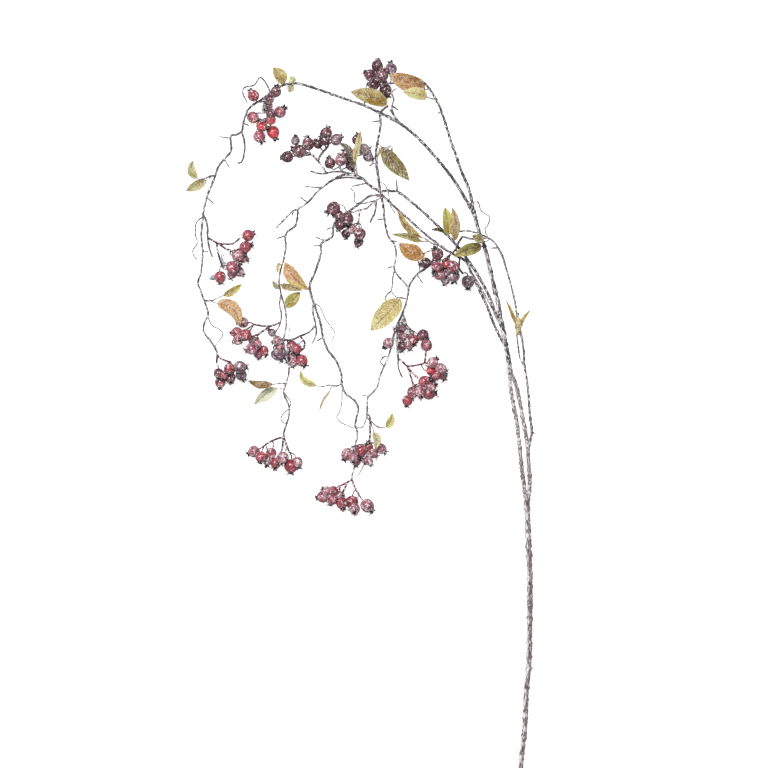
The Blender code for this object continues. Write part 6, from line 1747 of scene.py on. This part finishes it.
    def build(self, strands: BarkStrands, finishes: list[bpy.types.Material]
              ) -> bpy.types.Object:
        """Build the leaf as one piece that takes the place of its solid.

        Args:
            strands: the bark that carries it.
            finishes: leaf, petiole and grain materials.

        Returns:
            The piece.
        """
        index = [leaf[0] for leaf in LEAVES].index(self.name)
        _, colour, carrier, width, roll, petiole_length, route = LEAVES[index]
        self.rng = np.random.default_rng(LEAF_SEED + index)
        tone = LEAF_TONES[self.name]
        bark, radii = strands.paths[carrier]
        path = smooth_route(route, 0.5 * MM)
        foot = nearest(bark, path[0])
        outside = np.linalg.norm(path - bark[foot], axis=1) > radii[foot]
        path = np.vstack([bark[foot], path[outside]])
        along = distances(path)
        opening = radii[foot] + petiole_length * MM
        length = along[-1] - opening
        rows = opening + length * np.linspace(0, 1, self.rows)
        line = np.stack([np.interp(rows, along, path[:, k]) for k in range(3)], -1)
        middle, normal, half = self.surface(line, length, width, roll)
        blade = self.blade(line, length, middle, normal, half)
        end = int(np.searchsorted(along, opening + 0.75 * length))
        thick = np.interp(along[:end] / along[-1], [0, opening / along[-1], 1], self.petiole)
        stem = tube_shell(path[:end], thick, rough(self.rng, end, 6, 0.15),
                          0.55 * linear(tone.base) + 0.45 * linear(PETIOLE_COLOUR), 0.25, 1)
        frosting = Frosting(LEAF_FROST_SEED + index)
        pick = self.rng.integers(0, self.rows * self.columns,
                                 int(0.16 * width * length / MM * tone.frost))
        upper = middle + normal * self.thickness / 2
        frosting.scatter(upper.reshape(-1, 3)[pick], *self.grain_sizes)
        piece = build_piece(self.name + "_blade", [blade, stem, frosting.shell(2)], finishes)
        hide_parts(self.name)
        return piece


@dataclass(frozen=True)
class Studio:
    """The pale floor, the soft light and the camera that looks straight down.

    Attributes:
        floor_size, floor_gap: side of the floor, and how far it lies under the sprig, in
            metres.
        floor_glow: its light, which keeps it white under the twigs.
        sky: strength of the even light from all round.
        lamp_size, lamp_power: width of the softbox in metres, and its power in watts.
        lamp_place, lamp_target: its middle, and where it points, in metres.
        view_centre, view_width: middle and width of the view in millimetres.
        distance, view_plane: height of the camera over the view's plane, and of that plane
            over Z = 0, in metres.
        sensor: width of the camera's sensor in millimetres.
    """

    floor_size: float = 40.0
    floor_gap: float = 0.05 * MM
    floor_glow: float = 0.75
    sky: float = 0.35
    lamp_size: float = 0.9
    lamp_power: float = 48.0
    lamp_place: Point = (-0.6, 0.9, 2.2)
    lamp_target: Point = (0.0, 0.1, 0.0)
    view_centre: tuple[float, float] = (26.4, 47.3)
    view_width: float = 844.8
    distance: float = 6.0
    view_plane: float = 0.025
    sensor: float = 36.0

    def floor(self) -> None:
        """Lay a plain white floor just under the sprig.

        It glows like a light table. It doesn't light the sprig, so the hips stay dark
        towards their edges.
        """
        bpy.ops.mesh.primitive_plane_add(size=self.floor_size,
                                         location=(0, 0, -self.floor_gap))
        plane = bpy.context.object
        plane.name = "floor"
        plane.visible_diffuse = False
        plane.visible_glossy = False
        material, shader, _ = blank_material("lit_white_table")
        feed(shader, {"Base Color": rgba("#fbfbfb"), "Roughness": 0.9,
                      "Emission Color": rgba("#ffffff"), "Emission Strength": self.floor_glow})
        plane.data.materials.append(material)

    def lights(self) -> None:
        """Light the sky dimly and evenly, with a large soft lamp up and to the left."""
        world = bpy.data.worlds.new("soft_sky")
        world.use_nodes = True
        feed(world.node_tree.nodes["Background"],
             {"Color": rgba("#ffffff"), "Strength": self.sky})
        bpy.context.scene.world = world
        lamp = bpy.data.lights.new("softbox", "AREA")
        lamp.shape = "DISK"
        lamp.size = self.lamp_size
        lamp.energy = self.lamp_power
        carrier = bpy.data.objects.new("softbox", lamp)
        carrier.location = self.lamp_place
        x, y, z = np.subtract(self.lamp_target, self.lamp_place)
        carrier.rotation_euler = (math.atan2(math.hypot(x, y), -z), 0,
                                  math.atan2(y, x) - math.pi / 2)
        bpy.context.scene.collection.objects.link(carrier)

    def camera(self) -> None:
        """Look straight down with a long lens."""
        lens = bpy.data.cameras.new("camera")
        lens.sensor_width = self.sensor
        lens.lens = self.sensor * self.distance / (self.view_width * MM)
        lens.clip_end = 50.0
        camera = bpy.data.objects.new("camera", lens)
        x, y = self.view_centre
        camera.location = (x * MM, y * MM, self.distance + self.view_plane)
        bpy.context.scene.collection.objects.link(camera)
        bpy.context.scene.camera = camera
        bpy.context.scene.view_settings.view_transform = "Standard"


def plain(box: object) -> list:
    """Turn a box into plain lists of numbers."""
    return [[round(float(value), 5) for value in corner] for corner in box]


def main() -> None:
    """Build the studio and every piece of the sprig."""
    logging.basicConfig(level=logging.INFO, format="%(message)s")
    studio = Studio()
    studio.floor()
    studio.lights()
    studio.camera()
    bark = FrostedBark().make()
    sepal = FrostedBark("dry_sepal", 1.8, 1.8, 2.0, 0, roughness=0.7).make()
    stalk = FrostedBark("waxy_stalk", 2.0, 2.0, 3.0, 0, roughness=0.5).make()
    petiole = FrostedBark("dry_petiole", 2.0, 2.0, 3.0, 0, roughness=0.7).make()
    skin, leaf, grain = HipSkin().make(), DryLeaf().make(), FrostGrain().make()
    strands = BarkStrands()
    strands.lay_out()
    everything = [row[0] for row in STRANDS]
    groups = {"bark_main": everything[:MAIN_STRANDS], "bark_limbs": everything[MAIN_STRANDS:]}
    for i, (label, names) in enumerate(groups.items()):
        frosting = Frosting(BARK_FROST_SEED + i)
        shells = strands.shells(names, frosting) + growths(label, 0)
        frosting.heap(label)
        piece = build_piece(label, shells + [frosting.shell(1)], [bark, grain])
        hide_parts("stem")
    for name, *_ in BUNCHES:
        HipBunch(name).build(strands, [skin, sepal, stalk, grain])
    for name, *_ in LEAVES:
        LeafBlade(name).build(strands, [leaf, petiole, grain])


if __name__ == "__main__":
    main()
